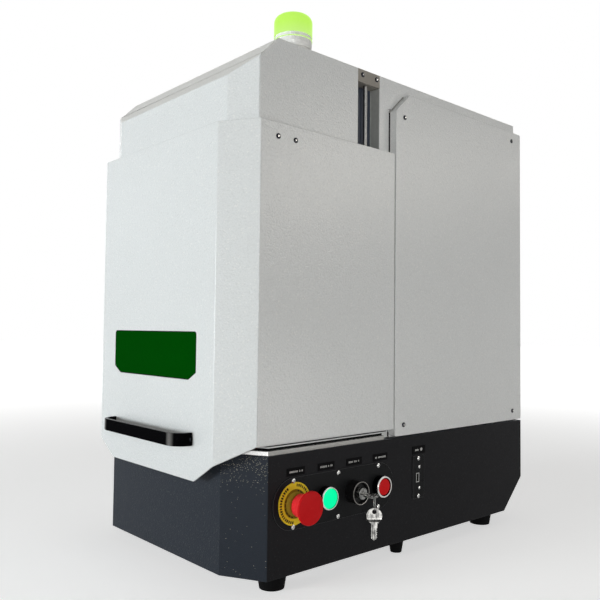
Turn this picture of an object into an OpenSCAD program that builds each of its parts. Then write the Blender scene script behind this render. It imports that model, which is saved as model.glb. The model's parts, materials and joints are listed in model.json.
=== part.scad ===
// Enclosed desktop fiber laser engraver with a lifting three-sided door.
// X is to the right, Y to the back, Z up. The origin is the centre of the base on the floor.

/* [Base] */
// Width of the base
base_w = 400; // [380:2:440]
// Length of the base, front to back
base_l = 612; // [580:2:660]
// Height of the base box
base_h = 151.5; // [140:0.5:170]
// Width of the cut on each front corner of the base
base_cut_x = 57; // [45:1:65]
// Length of the cut on each front corner of the base
base_cut_y = 31; // [22:1:40]
// Length of the slope under the back of the base
tail_l = 54; // [40:1:60]
// Height of the slope under the back of the base
tail_h = 52; // [40:1:60]
// Thickness of the base sheet
base_t = 2; // [1.5:0.5:3]
// Height of the feet
foot_h = 22; // [18:1:28]
// Diameter of a corner foot
foot_d = 40; // [30:1:42]
// Diameter of a middle foot
mid_foot_d = 24; // [16:1:28]
// Outside radius of a sheet metal fold
fold_r = 3; // [2:0.5:4]

/* [Deck] */
// Height of the folded deck on top of the base
deck_h = 6; // [4.5:0.5:10]
// How far the deck's edge lies inside the base
deck_inset = 3; // [2:0.5:5]
// Thickness of the lower sill seal and of the sill plate
sill_t = 1.6; // [1.2:0.2:2]
// Height of the upper sill seal
seal_h = 3; // [2:0.5:4]
// Height of the seal between the deck and the sill plate
low_seal_h = 3.1; // [1.5:0.1:4]
// Width of the work table
table_w = 280; // [260:5:280]
// Length of the work table
table_l = 180; // [170:5:180]
// Thickness of the work table
table_t = 12; // [8:1:16]
// Pitch of the work table's holes
hole_pitch = 50; // [40:5:55]
// Diameter of the work table's tapped holes
hole_d = 6; // [5:0.5:8]

/* [Hood] */
// Width of the hood
hood_w = 375; // [355:1:380]
// Height of the hood's top above the floor
hood_top = 707; // [680:1:740]
// Width of the cut on each front corner of the hood
hood_cut_x = 43.5; // [35:0.5:50]
// Length of the cut on each front corner of the hood
hood_cut_y = 19.5; // [14:0.5:26]
// Length of the slope along the hood's front top edge
brow_l = 48.5; // [30:0.5:60]
// Height of the slope along the hood's front top edge
brow_h = 48.5; // [30:0.5:60]
// Thickness of the hood, cover and panel sheet
body_t = 1.5; // [1.2:0.1:2]
// Height of the hood's lower edge above the floor, in front of the guide posts
hood_low = 440; // [420:2:450]
// Depth of a folded side cover
cover_d = 11.7; // [9:0.1:12]

/* [Door] */
// Height of the door's sides
door_h = 404; // [390:1:420]
// Thickness of the door sheet
door_t = 2; // [1.5:0.5:2.5]
// How far the door stands out past the base at the front
door_out = 18.5; // [17:0.5:24]
// How far the door's sides stand out past the base
door_side_out = 1.5; // [1:0.5:3]
// Width of the cut on each front corner of the door
door_cut_x = 50; // [40:1:56]
// Length of the cut on each front corner of the door
door_cut_y = 30; // [22:1:34]
// How far the door's front hangs below its sides
skirt_drop = 52.5; // [40:0.5:60]
// Width of the front's lowest edge
skirt_w = 220; // [200:2:240]
// How far the door lifts
door_travel = 258; // [200:2:262]
// Width of the window
window_w = 222; // [180:2:230]
// Height of the window
window_h = 63; // [50:1:80]
// Height of the window's lower edge above the floor
window_z = 263.5; // [255:0.5:280]
// Height of the handle's middle above the floor
handle_z = 188.5; // [180:0.5:200]
// Length of the handle
handle_w = 213; // [180:1:220]
// Height of the handle's bar
handle_h = 17; // [14:1:20]
// How far the handle stands out from the door
handle_out = 25.5; // [24:0.5:34]
// Thickness of the handle's bar
handle_t = 5; // [4:0.5:6]
// Outside bend radius of the handle
handle_r = 23; // [16:1:24]

/* [Door guides] */
// Distance of the slots' front edge behind the front of the base
slot_at = 198.7; // [193:0.1:201]
// Width of the slot that a guide runs in
slot_w = 46; // [44:1:50]
// Depth of the slot that a guide runs in
slot_d = 18; // [17:0.5:20]
// Diameter of a guide rod
rod_d = 6; // [5:1:8]
// Distance of a guide rod's axis inside the hood's side
rod_in = 7.5; // [6:0.1:8]
// Height of a guide block at the top of the slot
block_h = 19; // [16:0.5:22]
// Height of a door carriage
carriage_h = 40; // [34:1:44]

/* [Lamp] */
// Diameter of the signal lamp
lamp_d = 54; // [44:1:60]
// Height of the lamp's foot with its collar
lamp_foot_h = 31.5; // [22:0.5:36]
// Height of the lamp's lens
lamp_lens_h = 30; // [26:0.5:44]

/* [Controls] */
// Distance between two neighbouring controls
control_pitch = 53.3; // [50:0.1:56]
// Height of the controls above the floor
control_z = 110.7; // [104:0.1:118]
// Half the height of the control plate
plate_r = 32.8; // [32:0.1:36]
// Diameter of the emergency stop's head
stop_d = 42; // [36:1:44]
// Diameter of the emergency stop's yellow ring
ring_d = 54; // [48:1:54]
// Diameter of a push button's bezel
bezel_d = 30; // [29.5:0.5:34]
// Travel of the emergency stop
stop_travel = 5; // [3:0.5:5]
// Travel of a push button
press_travel = 3; // [2:0.5:3]

/* [Laser head] */
// Diameter of the scan lens
lens_d = 86; // [70:1:95]
// Height of the scan lens
lens_h = 46; // [36:1:54]
// Diameter of the lead screw
screw_d = 12; // [8:1:14]
// Height of the head column
column_h = 459; // [440:1:470]

/* [Hidden] */
$fn = 48;

// clearances
eps = 1;               // how far a cutting shape runs past a face
fit = 0.05;            // radial running fit of a shaft, rod or bush
loose = 0.3;           // gap between parts that pass each other
arc_steps = 4;         // facets in a sheet fold

// main planes
half_w = base_w / 2;
base_front = -base_l / 2;
base_back = base_l / 2;
base_top = foot_h + base_h;
deck_top = base_top + deck_h;
sill_low = deck_top + low_seal_h;
sill_top = sill_low + sill_t;
seal_top = sill_top + seal_h;
door_low = seal_top + 0.5;
door_top = door_low + door_h;
door_half = half_w + door_side_out;
door_front = base_front - door_out;
hood_half = hood_w / 2;
hood_front = base_front + 0.5;
hood_back = base_back - 3.5;
slot_front = base_front + slot_at;
slot_back = slot_front + slot_w;
guide_y = slot_front + slot_w / 2;
slot_floor = hood_half - slot_d;
channel_t = 1.8;                       // sheet of the channels behind the slots
door_back = slot_back + 18.8;
deck_back = slot_back + 3.2;
wall_front = slot_back + 5.3;          // front face of the partition wall
wall_t = 2;
column_front = slot_front + 1.3;

// ---- outline helpers: every outline runs anticlockwise ----
function unit(v) = v / norm(v);
function left_of(v) = [-v[1], v[0]];
function turned(v, a) = [v[0] * cos(a) - v[1] * sin(a), v[0] * sin(a) + v[1] * cos(a)];

// an outline moved inwards by t, with its corners kept sharp
function inset(p, t) = [
    for (i = [0 : len(p) - 1])
        let (n = len(p), a = left_of(unit(p[i] - p[(i + n - 1) % n])))
        let (b = left_of(unit(p[(i + 1) % n] - p[i])))
        p[i] + t * (a + b) / (1 + a * b)
];

// one corner of an outline as an arc of radius r
function corner(p, i, r) =
    let (n = len(p), a = unit(p[i] - p[(i + n - 1) % n]), b = unit(p[(i + 1) % n] - p[i]))
    let (turn = acos(a * b), side = cross(a, b) > 0 ? 1 : -1)
    let (c = p[i] - a * r * tan(turn / 2) + left_of(a) * r * side)
    [for (k = [0 : arc_steps]) c + turned(-left_of(a) * r * side, side * turn * k / arc_steps)];

// an outline with the corners listed in which rounded to radius r
function rounded(p, r, which) = [
    for (i = [0 : len(p) - 1]) each (r > 0 && len(search(i, which)) > 0 ? corner(p, i, r) : [p[i]])
];

// plan of a box whose two front corners are cut: back left, then round the front to back right
function plan(hw, front, back, cut_x, cut_y) = [
    [-hw, back], [-hw, front + cut_y], [-hw + cut_x, front],
    [hw - cut_x, front], [hw, front + cut_y], [hw, back]
];
front_folds = [1, 2, 3, 4];

// a vertical prism on an outline
module prism(p, z0, z1) {
    translate([0, 0, z0]) linear_extrude(z1 - z0) polygon(p);
}

// a prism along X on an outline given as [y, z]
module prism_x(p, x0, x1) {
    translate([x0, 0, 0]) rotate([90, 0, 90]) linear_extrude(x1 - x0) polygon(p);
}

// a prism along Y on an outline given as [x, z]
module prism_y(p, y0, y1) {
    translate([0, y1, 0]) rotate([90, 0, 0]) linear_extrude(y1 - y0) polygon(p);
}

// a box between two opposite corners
module box(lo, hi) {
    translate(lo) cube(hi - lo);
}

// the same shape on the right and on the left
module both_sides() {
    children();
    mirror([1, 0, 0]) children();
}

// local Z along +X, starting from the base's right face
module on_right(y, z, out = 0) {
    translate([half_w + out, y, z]) rotate([0, 90, 0]) children();
}

module tube(r_out, r_in, h) {
    difference() {
        cylinder(r = r_out, h = h);
        translate([0, 0, -eps]) cylinder(r = r_in, h = h + 2 * eps);
    }
}

// ---- base ----
base_plan = plan(half_w, base_front, base_back, base_cut_x, base_cut_y);
base_side = [
    [base_front, foot_h], [base_back - tail_l, foot_h], [base_back, foot_h + tail_h],
    [base_back, base_top], [base_front, base_top]
];
floor_back = base_back - tail_l - 4;
floor_plan = plan(half_w, base_front, floor_back, base_cut_x, base_cut_y);
floor_lip = 14;
plate_y0 = base_front + 73.1;              // first control
plate_y1 = plate_y0 + 3 * control_pitch;   // last control
plate_t = 1.5;
plate_shift = -2.5;                        // of the plate's middle from the controls' middle
panel_head_r = 3;
panel_hole_r = 1.6;
plate_screw_out = 28.8;
usb_y = plate_y1 + 88.5;
usb_w = 26.6;
usb_h = 63.4;
usb_z = control_z + 1;
inlet_x = -120;
inlet_z = base_top - 50;
inlet_w = 62;
inlet_h = 34;
inlet_cut = [54, 28];

module stadium(r, h) {
    y0 = plate_y0 + plate_shift;
    y1 = plate_y1 + plate_shift;
    for (y = [y0, y1]) on_right(y, control_z) cylinder(r = r, h = h);
    box([half_w, y0, control_z - r], [half_w + h, y1, control_z + r]);
}

module base_body(t) {
    intersection() {
        prism(rounded(inset(base_plan, t), fold_r - t, front_folds), foot_h, base_top + eps);
        prism_x(inset(base_side, t), -half_w, half_w);
    }
}

module base_shell() {
    color([0.17, 0.18, 0.21]) difference() {
        base_body(0);
        intersection() {
            base_body(base_t);
            box([-half_w, base_front, foot_h + 2 * base_t], [half_w, base_back, base_top]);
        }
        prism(inset(floor_plan, base_t), foot_h - eps, foot_h + base_t);
        prism(inset(floor_plan, base_t + floor_lip), foot_h, foot_h + 2 * base_t + eps);
        translate([-base_t - eps, 0, 0]) stadium(plate_screw_out - 4, base_t + 2 * eps);
        for (p = concat(plate_screws, usb_corner_screws)) on_right(p[0], p[1], -base_t - eps)
            cylinder(r = panel_hole_r, h = base_t + 2 * eps);
        box([half_w - base_t - eps, usb_y - 9, usb_z - 22], [half_w + eps, usb_y + 9, usb_z + 22]);
        translate([inlet_x, base_back, inlet_z])
            cube([inlet_cut[0], 3 * base_t, inlet_cut[1]], center = true);
        // cable ways to the rear bay
        for (x = [-60, 60]) translate([x, 40, base_top - base_t - eps])
            cylinder(r = 22, h = base_t + 2 * eps);
    }
}

module base_floor() {
    color([0.2, 0.21, 0.24]) difference() {
        prism(inset(floor_plan, base_t + loose), foot_h, foot_h + base_t);
        // air slots
        for (x = [-70, 70], k = [0 : 9]) translate([x - 30, 14 * k - 90, foot_h - eps])
            cube([60, 5, base_t + 2 * eps]);
    }
}

foot_x = half_w - 31.5;
foot_front = base_front + 65;
foot_rear = base_back - 81;
mid_foot_x = half_w - 23;
mid_foot_y = base_front + 299;

foot_taper = 3.6;

module foot(d, h) {
    difference() {
        cylinder(r1 = d / 2 - foot_taper, r2 = d / 2, h = h);
        translate([0, 0, -eps]) cylinder(r = d / 5, h = h / 3 + eps);
        translate([0, 0, h / 3 - eps]) cylinder(r = d / 14, h = h);
    }
}

module corner_feet() {
    color([0.03, 0.03, 0.03]) for (x = [-foot_x, foot_x], y = [foot_front, foot_rear])
        translate([x, y, 0]) foot(foot_d, foot_h);
}

module middle_feet() {
    color([0.03, 0.03, 0.03]) for (x = [-mid_foot_x, mid_foot_x])
        translate([x, mid_foot_y, 0]) foot(mid_foot_d, foot_h);
}

// ---- deck, sill and table ----
deck_plan = inset(plan(half_w, base_front, deck_back + deck_inset, base_cut_x, base_cut_y), deck_inset);
sill_w = 12.2;                          // from the base's front to the sill's inner edge

// a ring in from the base's edge by t, ending just outside the hood's sides
module deck_ring(t, z0, z1, back) {
    outer = inset(plan(half_w, base_front, back + t, base_cut_x, base_cut_y), t);
    edge = plan(hood_half + loose + sill_w, base_front, back + sill_w + eps, base_cut_x, base_cut_y);
    inner = inset(edge, sill_w);
    difference() {
        prism(rounded(outer, 2, front_folds), z0, z1);
        prism(inner, z0 - eps, z1 + eps);
    }
}

module deck_plate() {
    color([0.88, 0.89, 0.9]) difference() {
        prism(rounded(deck_plan, fold_r, front_folds), base_top, deck_top);
        prism(inset(deck_plan, base_t), base_top - eps, deck_top - base_t);
        // notches for the hood's sides
        both_sides() box([hood_half - body_t - loose, slot_back - loose, base_top - eps],
            [hood_half + loose, deck_back + eps, deck_top + eps]);
    }
}

module sill_plate() {
    color([0.8, 0.81, 0.82]) deck_ring(deck_inset + 2.5, sill_low, sill_top, deck_back + 9);
}

module sill_seals() {
    color([0.04, 0.04, 0.04]) {
        deck_ring(deck_inset + 4.5, deck_top, sill_low, deck_back);
        deck_ring(deck_inset + 4.5, sill_top, seal_top, deck_back + 9);
    }
}

table_y = slot_front - channel_t - loose - table_l / 2;
table_top = deck_top + table_t;

module work_table() {
    color([0.3, 0.31, 0.33]) translate([0, table_y, deck_top]) difference() {
        box([-table_w / 2, -table_l / 2, 0], [table_w / 2, table_l / 2, table_t]);
        for (x = [-2 : 2], y = [-1.5 : 1.5]) translate([x * hole_pitch, y * hole_pitch, -eps])
            cylinder(r = hole_d / 2, h = table_t + 2 * eps);
    }
}

// ---- hood ----
hood_plan = plan(hood_half, hood_front, hood_back, hood_cut_x, hood_cut_y);
hood_side = [
    [hood_front, base_top], [hood_back, base_top], [hood_back, hood_top],
    [hood_front + brow_l, hood_top], [hood_front, hood_top - brow_h]
];
cover_front = slot_back + 24.5;
cover_back = hood_back + 5;
cover_low = base_top + 2.2;
cover_top = hood_top - 19;
cover_cut = [31.4, 29.9];
cover_x = hood_half + cover_d;
cover_outline = [
    [cover_front, cover_low], [cover_back, cover_low], [cover_back, cover_top],
    [cover_front + cover_cut[0], cover_top], [cover_front, cover_top - cover_cut[1]]
];
cover_points = [
    [cover_front + 19.3, cover_top - 36.8], [cover_back - 29, cover_top - 16],
    [cover_front + 19.3, cover_low + 16], [cover_back - 28, cover_low + 16]
];
block_low = hood_top - block_h;
block_points = [[slot_front + 9.3, hood_top - 7.8], [slot_back - 7, hood_top - 7.8]];
panel_points = [
    for (x = [-1, 1], z = [base_top + 16, (base_top + hood_top) / 2, hood_top - 16]) [x * (hood_half - 10), z]
];
screw_r = 1.6;
head_r = 3.5;
head_h = 2;
stud_r = 4.5;
rear_lip = 16;
band_w = 12.4;           // pressed band along the cover's front edge
band_d = 2;
groove_w = 1.3;          // gap beside the cover
groove_d = 4;
fan_z = 560;
fan_size = 120;

module hood_solid(t) {
    intersection() {
        prism(rounded(inset(hood_plan, t), fold_r - t, front_folds), base_top, hood_top);
        prism_x(inset(hood_side, t), -hood_half, hood_half);
    }
}

module hood_cavity() {
    hood_solid(body_t);
    box([-hood_half + body_t, slot_back, base_top - eps],
        [hood_half - body_t, hood_back - body_t, base_top + 5]);
    // open back inside a narrow lip
    box([-hood_half + rear_lip, hood_back - 2 * body_t, base_top - eps],
        [hood_half - rear_lip, hood_back + eps, hood_top - rear_lip]);
}

// a band pressed into the hood's side along the cover's front edge
module pressed_band() {
    y0 = cover_front - groove_w - band_w;
    corner_z = cover_top - cover_cut[1];
    intersection() {
        translate([0, 0, base_top - eps]) linear_extrude(hood_top) polygon([
            [hood_half + eps, cover_front], [hood_half - band_d, cover_front],
            [hood_half - band_d, cover_front - groove_w], [hood_half, y0], [hood_half + eps, y0]
        ]);
        prism_x([
            [y0 - eps, base_top - eps], [cover_front, base_top - eps], [cover_front, corner_z + 5],
            [y0, corner_z - 1], [y0 - eps, corner_z - 1]
        ], 0, 2 * hood_half);
    }
}

// the narrow gap round the cover's front edge and its cut corner
module cover_groove() {
    top = cover_top - 0.5;
    difference() {
        prism_x(inset(cover_outline, -groove_w), hood_half - groove_d, hood_half + eps);
        prism_x(cover_outline, 0, 2 * hood_half);
        box([0, cover_front, 0], [2 * hood_half, cover_back + 2 * eps, cover_low + eps]);
        box([0, cover_front, top], [2 * hood_half, cover_back + 2 * eps, hood_top]);
        box([0, cover_front + cover_cut[0], 0], [2 * hood_half, cover_back + 2 * eps, hood_top]);
    }
}

module hood_shell() {
    color([0.86, 0.88, 0.9]) difference() {
        union() {
            difference() {
                hood_solid(0);
                hood_cavity();
            }
            both_sides() for (p = cover_points) {
                translate([hood_half - body_t, p[0], p[1]]) rotate([0, 90, 0])
                    cylinder(r = stud_r, h = cover_d);
            }
            // folded backing of the pressed band
            both_sides() prism_x([
                [cover_front - band_w - groove_w - 2, base_top], [cover_front + 3, base_top],
                [cover_front + 3, cover_top - cover_cut[1] - 2], [cover_front + cover_cut[0] + 3, cover_top],
                [cover_front - 4, cover_top], [cover_front - band_w - groove_w - 2, cover_top - 16]
            ], hood_half - groove_d - body_t, hood_half - body_t);
        }
        // open below the lower edge, in front of the guide posts
        box([-hood_half - eps, hood_front - eps, base_top - eps], [hood_half + eps, slot_back, hood_low]);
        both_sides() {
            pressed_band();
            cover_groove();
            box([slot_floor - body_t, slot_front, base_top - eps],
                [hood_half + eps, slot_back, hood_top + eps]);
            box([hood_half - body_t - eps, cover_front + 32, cover_low + 34],
                [hood_half + eps, cover_back - 40, cover_top - 34]);
            for (p = cover_points) translate([hood_half - body_t - eps, p[0], p[1]]) rotate([0, 90, 0])
                cylinder(r = screw_r + fit, h = cover_d + 2 * eps);
        }
        for (p = panel_points) translate([p[0], hood_back + eps, p[1]]) rotate([90, 0, 0])
            cylinder(r = screw_r + fit, h = 2 * body_t + 2 * eps);
    }
}

module partition_wall() {
    half = hood_half - body_t;
    color([0.8, 0.82, 0.84]) difference() {
        box([-half, wall_front, base_top], [half, wall_front + wall_t, hood_top - body_t]);
        // ways for the head's cables and fiber
        for (x = [-100, 100]) translate([x, wall_front - eps, hood_low + 150]) rotate([-90, 0, 0])
            cylinder(r = 18, h = wall_t + 2 * eps);
    }
}

strip_y = [guide_y + 2, guide_y + 5.5];   // raised strip on the channel's floor
strip_h = 1.2;

module guide_channels() {
    x1 = hood_half - body_t;
    color([0.3, 0.31, 0.33]) both_sides() {
        difference() {
            box([slot_floor - channel_t, slot_front - channel_t, deck_top],
                [x1, slot_back + channel_t, block_low]);
            box([slot_floor, slot_front, deck_top - eps], [x1 + eps, slot_back, block_low + eps]);
        }
        box([slot_floor - channel_t, strip_y[0], deck_top], [slot_floor + strip_h, strip_y[1], block_low]);
    }
}

rod_x = hood_half - rod_in;
rod_low = deck_top + 2;
rod_high = block_low + 8;
low_block_h = 16;

module guide_rods() {
    color([0.85, 0.85, 0.86]) both_sides() translate([rod_x, guide_y, rod_low])
        cylinder(r = rod_d / 2, h = rod_high - rod_low);
}

module rod_end_blocks() {
    color([0.62, 0.6, 0.57]) both_sides() difference() {
        union() {
            box([slot_floor - body_t, slot_front, block_low], [hood_half, slot_back, hood_top]);
            box([slot_floor, slot_front, deck_top], [hood_half - body_t, slot_back, deck_top + low_block_h]);
        }
        translate([rod_x, guide_y, rod_low]) cylinder(r = rod_d / 2, h = rod_high - rod_low);
        for (p = block_points) translate([hood_half - 10, p[0], p[1]]) rotate([0, 90, 0])
            cylinder(r = screw_r + fit, h = 10 + eps);
        // clearance for the raised strip
        box([slot_floor - eps, strip_y[0] - loose, deck_top - eps],
            [slot_floor + strip_h + loose, strip_y[1] + loose, deck_top + low_block_h + eps]);
    }
}

// one folded tray, open towards the hood
module side_cover() {
    color([0.83, 0.84, 0.85]) difference() {
        prism_x(rounded(cover_outline, fold_r, [0, 1, 2, 3, 4]), hood_half, cover_x);
        prism_x(inset(cover_outline, body_t), hood_half - eps, cover_x - body_t);
        for (p = cover_points) translate([hood_half, p[0], p[1]]) rotate([0, 90, 0])
            cylinder(r = screw_r + 0.2, h = cover_d + eps);
    }
}

module left_side_cover() {
    mirror([1, 0, 0]) side_cover();
}

module right_side_cover() {
    side_cover();
}

// button head screw along +Z, its head's underside at 0
module button_screw(length) {
    difference() {
        union() {
            translate([0, 0, -length]) cylinder(r = screw_r, h = length);
            cylinder(r1 = head_r, r2 = head_r * 0.7, h = head_h);
        }
        translate([0, 0, head_h / 2]) cylinder(r = 1.2, h = head_h, $fn = 6);
    }
}

module cover_screws() {
    color([0.15, 0.15, 0.17]) {
        both_sides() {
            for (p = cover_points) translate([cover_x, p[0], p[1]]) rotate([0, 90, 0]) button_screw(8);
            for (p = block_points) translate([hood_half, p[0], p[1]]) rotate([0, 90, 0]) button_screw(8);
        }
        for (p = panel_points) translate([p[0], hood_back + body_t, p[1]]) rotate([-90, 0, 0])
            button_screw(4);
    }
}

module rear_panel() {
    color([0.83, 0.84, 0.85]) difference() {
        box([-hood_half, hood_back, base_top], [hood_half, hood_back + body_t, hood_top]);
        translate([0, hood_back - eps, fan_z]) rotate([-90, 0, 0])
            cylinder(r = fan_size / 2 - 3, h = body_t + 2 * eps);
        // air slots
        for (x = [-70, 70], k = [0 : 11]) translate([x - 40, hood_back - eps, base_top + 50 + 12 * k])
            cube([80, body_t + 2 * eps, 4]);
        for (p = panel_points) translate([p[0], hood_back - eps, p[1]]) rotate([-90, 0, 0])
            cylinder(r = screw_r + 0.2, h = body_t + 2 * eps);
    }
}

// ---- fan, local Z along +Y with 0 at the panel's inner face ----
fan_d = 25;
fan_hub = 20;

module on_fan() {
    translate([0, hood_back, fan_z]) rotate([-90, 0, 0]) children();
}

module fan_housing() {
    color([0.06, 0.06, 0.06]) on_fan() {
        difference() {
            translate([-fan_size / 2, -fan_size / 2, -fan_d]) cube([fan_size, fan_size, fan_d]);
            translate([0, 0, -fan_d - eps]) cylinder(r = fan_size / 2 - 2.5, h = fan_d + 2 * eps);
        }
        difference() {
            union() {
                translate([0, 0, -fan_d]) cylinder(r = fan_hub, h = 4);
                for (a = [0 : 90 : 270]) rotate([0, 0, a + 45])
                    translate([0, -3, -fan_d]) cube([fan_size / 2 - 1, 6, 3]);
            }
            translate([0, 0, -fan_d - eps]) cylinder(r = 3 + fit, h = 6);
        }
    }
}

module fan_rotor() {
    blades = 7;
    color([0.08, 0.08, 0.08]) on_fan() {
        translate([0, 0, -fan_d + 0.5]) cylinder(r = 3, h = 6);
        translate([0, 0, -fan_d + 4.5]) cylinder(r = fan_hub, h = 17);
        for (k = [0 : blades - 1]) rotate([0, 0, 360 * k / blades]) translate([fan_hub - 2, 0, -fan_d / 2])
            rotate([38, 0, 0]) translate([0, -11, -0.8]) cube([fan_size / 2 - 4 - fan_hub + 2, 22, 1.6]);
    }
}

module fan_guard() {
    wire = 2;
    color([0.75, 0.75, 0.76]) on_fan() translate([0, 0, body_t]) {
        for (r = [14 : 11 : 58]) rotate_extrude() translate([r, 1.3 * wire]) circle(r = wire / 2, $fn = 24);
        for (a = [45 : 90 : 315]) rotate([0, 0, a]) translate([13, -wire / 2, 0]) cube([49, wire, wire]);
    }
}

// ---- mains inlet in the back of the base, local Z along +Y ----
module on_inlet() {
    translate([inlet_x, base_back, inlet_z]) rotate([-90, 0, 0]) children();
}

rocker = [13, 22.4];    // mouth of the rocker's pocket
rocker_x = -17;

module mains_inlet() {
    color([0.05, 0.05, 0.05]) on_inlet() difference() {
        union() {
            translate([-inlet_w / 2, -inlet_h / 2, 0]) cube([inlet_w, inlet_h, 2.5]);
            translate([-inlet_cut[0] / 2 + 0.5, -inlet_cut[1] / 2 + 0.5, -24])
                cube([inlet_cut[0] - 1, inlet_cut[1] - 1, 25]);
        }
        translate([-3, -8.5, -15]) cube([25, 17, 20]);
        translate([rocker_x - rocker[0] / 2, -rocker[1] / 2, -12]) cube([rocker[0], rocker[1], 20]);
    }
}

rocker_tilt = 9;
rocker_r = 15;         // from the pivot to the rocker's face

module mains_rocker() {
    w = rocker[0] - 2 * loose;
    color([0.6, 0.05, 0.05]) on_inlet() translate([rocker_x, 0, -8.5]) rotate([rocker_tilt, 0, 0]) {
        intersection() {
            translate([-w / 2, -8.8, -1]) cube([w, 17.6, rocker_r]);
            union() {
                rotate([rocker_tilt, 0, 0]) translate([-w, 0, -10]) cube([2 * w, 30, 10 + 12]);
                rotate([-rocker_tilt, 0, 0]) translate([-w, -30, -10]) cube([2 * w, 30, 10 + 12]);
            }
        }
    }
}

// ---- lamp ----
lamp_x = half_w - 57.2;
lamp_y = base_front + 112.9;
lamp_r = lamp_d / 2;
neck_h = 13;            // height of the narrow lowest part
collar_h = 5.2;         // height of the collar between the foot and the lens
collar_in = 1.2;        // how far the collar lies inside the lens
lip_h = 1.2;            // height of the thin ring under the collar

module on_lamp() {
    translate([lamp_x, lamp_y, hood_top]) children();
}

module lamp_foot() {
    top = lamp_foot_h - collar_h;
    color([0.9, 0.9, 0.9]) on_lamp() {
        difference() {
            rotate_extrude() polygon([
                [0, 0], [lamp_r - 4, 0], [lamp_r - 4, neck_h], [lamp_r - 2.4, neck_h + 0.6],
                [lamp_r - 1.1, neck_h + 3], [lamp_r - 0.6, neck_h + 6], [lamp_r - 0.6, top - lip_h],
                [lamp_r - collar_in, top - lip_h], [lamp_r - collar_in, lamp_foot_h], [0, lamp_foot_h]
            ]);
            translate([0, 0, 3]) cylinder(r = lamp_r - 6.5, h = lamp_foot_h);
        }
        // bayonet lugs
        for (a = [78 : 120 : 318]) rotate([0, 0, a]) {
            translate([lamp_r - 4, -2.8, top - 5]) cube([3.9, 5.6, 4.5 - lip_h]);
            translate([lamp_r - 4, -2.8, top + 0.5]) cube([3.9, 5.6, collar_h - 1]);
        }
    }
}

module lamp_lens() {
    top_r = 10;
    h = lamp_lens_h;
    middle = [lamp_r - top_r, h - top_r];
    outer = [for (a = [0 : 15 : 90]) middle + top_r * [cos(a), sin(a)]];
    inner = [for (a = [90 : -15 : 0]) middle + (top_r - 2) * [cos(a), sin(a)]];
    color([0.8, 1, 0.47]) on_lamp() translate([0, 0, lamp_foot_h]) {
        rotate_extrude() polygon(concat(
            [[lamp_r, 0]], outer, [[0, h], [0, h - 2]], inner, [[lamp_r - 2, 0]]
        ));
        // thin ring under the collar
        translate([0, 0, -collar_h - lip_h]) tube(lamp_r, lamp_r - collar_in, lip_h);
    }
}

module lamp_led() {
    color([0.9, 0.95, 0.8]) on_lamp() translate([0, 0, 3]) {
        cylinder(r = 14, h = lamp_foot_h - 6);
        cylinder(r = 9, h = lamp_foot_h + lamp_lens_h - 18);
    }
}

// ---- control panel on the right of the base ----
plate_mid = (plate_y0 + plate_y1) / 2;
plate_screws = [
    for (y = [plate_y0, plate_mid, plate_y1], z = [-1, 1])
        [y + plate_shift, control_z + z * plate_screw_out]
];
usb_corner_screws = [[usb_y - 1, usb_z + 27.5], [usb_y - 1, usb_z - 28.4]];
usb_socket_screws = [[usb_y + 1.5, usb_z + 14.5], [usb_y + 1.5, usb_z - 16.5]];
stop_y = plate_y0;
start_y = plate_y0 + control_pitch;
key_y = plate_y0 + 2 * control_pitch;
reset_y = plate_y1;
hole_r = 11.2;
stem_r = 8;
label_w = 30.5;
label_h = 10;
label_t = 0.8;
label_z = control_z + plate_r + 7;
label_shift = 3;

module label(y, z, h) {
    translate([half_w, y - label_w / 2, z - h / 2]) cube([label_t, label_w, h]);
}

// the plate and the name plates above its controls
module control_plate() {
    color([0.08, 0.08, 0.09]) for (y = [stop_y, start_y, key_y, reset_y])
        label(y + label_shift, label_z, label_h);
    color([0.08, 0.08, 0.09]) difference() {
        stadium(plate_r, plate_t);
        for (y = [stop_y, start_y, key_y, reset_y])
            on_right(y, control_z, -eps) cylinder(r = hole_r, h = plate_t + 2 * eps);
        for (p = plate_screws) on_right(p[0], p[1], -eps) cylinder(r = panel_hole_r, h = plate_t + 2 * eps);
    }
}

module pan_screw(r, h, length) {
    rotate_extrude() polygon([
        [0, 0], [r, 0], [r * 0.95, h * 0.4], [r * 0.78, h * 0.75], [r * 0.45, h], [0, h]
    ]);
    translate([0, 0, -length]) cylinder(r = 1.5, h = length + 0.1);
}

module panel_screws() {
    color([0.75, 0.75, 0.76]) {
        for (p = concat(plate_screws, usb_corner_screws)) on_right(p[0], p[1], plate_t)
            pan_screw(panel_head_r, 2, 6);
        for (p = usb_socket_screws) on_right(p[0], p[1], plate_t) pan_screw(2.4, 1.5, 4);
    }
}

usb_hole = [7.4, 14.1];
usb_hole_at = [usb_y - 2.1, usb_z - 1];
usb_outline = [
    [usb_y - usb_w / 2, usb_z - usb_h / 2], [usb_y + usb_w / 2, usb_z - usb_h / 2],
    [usb_y + usb_w / 2, usb_z + usb_h / 2], [usb_y - usb_w / 2, usb_z + usb_h / 2]
];

// the socket's plate and the name plate above it
module usb_plate() {
    color([0.08, 0.08, 0.09]) label(usb_y + 1.5, label_z + 1, label_h + 2);
    color([0.08, 0.08, 0.09]) difference() {
        prism_x(rounded(usb_outline, 2.5, [0, 1, 2, 3]), half_w, half_w + plate_t);
        translate([half_w, usb_hole_at[0], usb_hole_at[1]])
            cube([4 * plate_t, usb_hole[0], usb_hole[1]], center = true);
        for (p = concat(usb_corner_screws, usb_socket_screws)) on_right(p[0], p[1], -eps)
            cylinder(r = panel_hole_r, h = plate_t + 2 * eps);
    }
}

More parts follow.
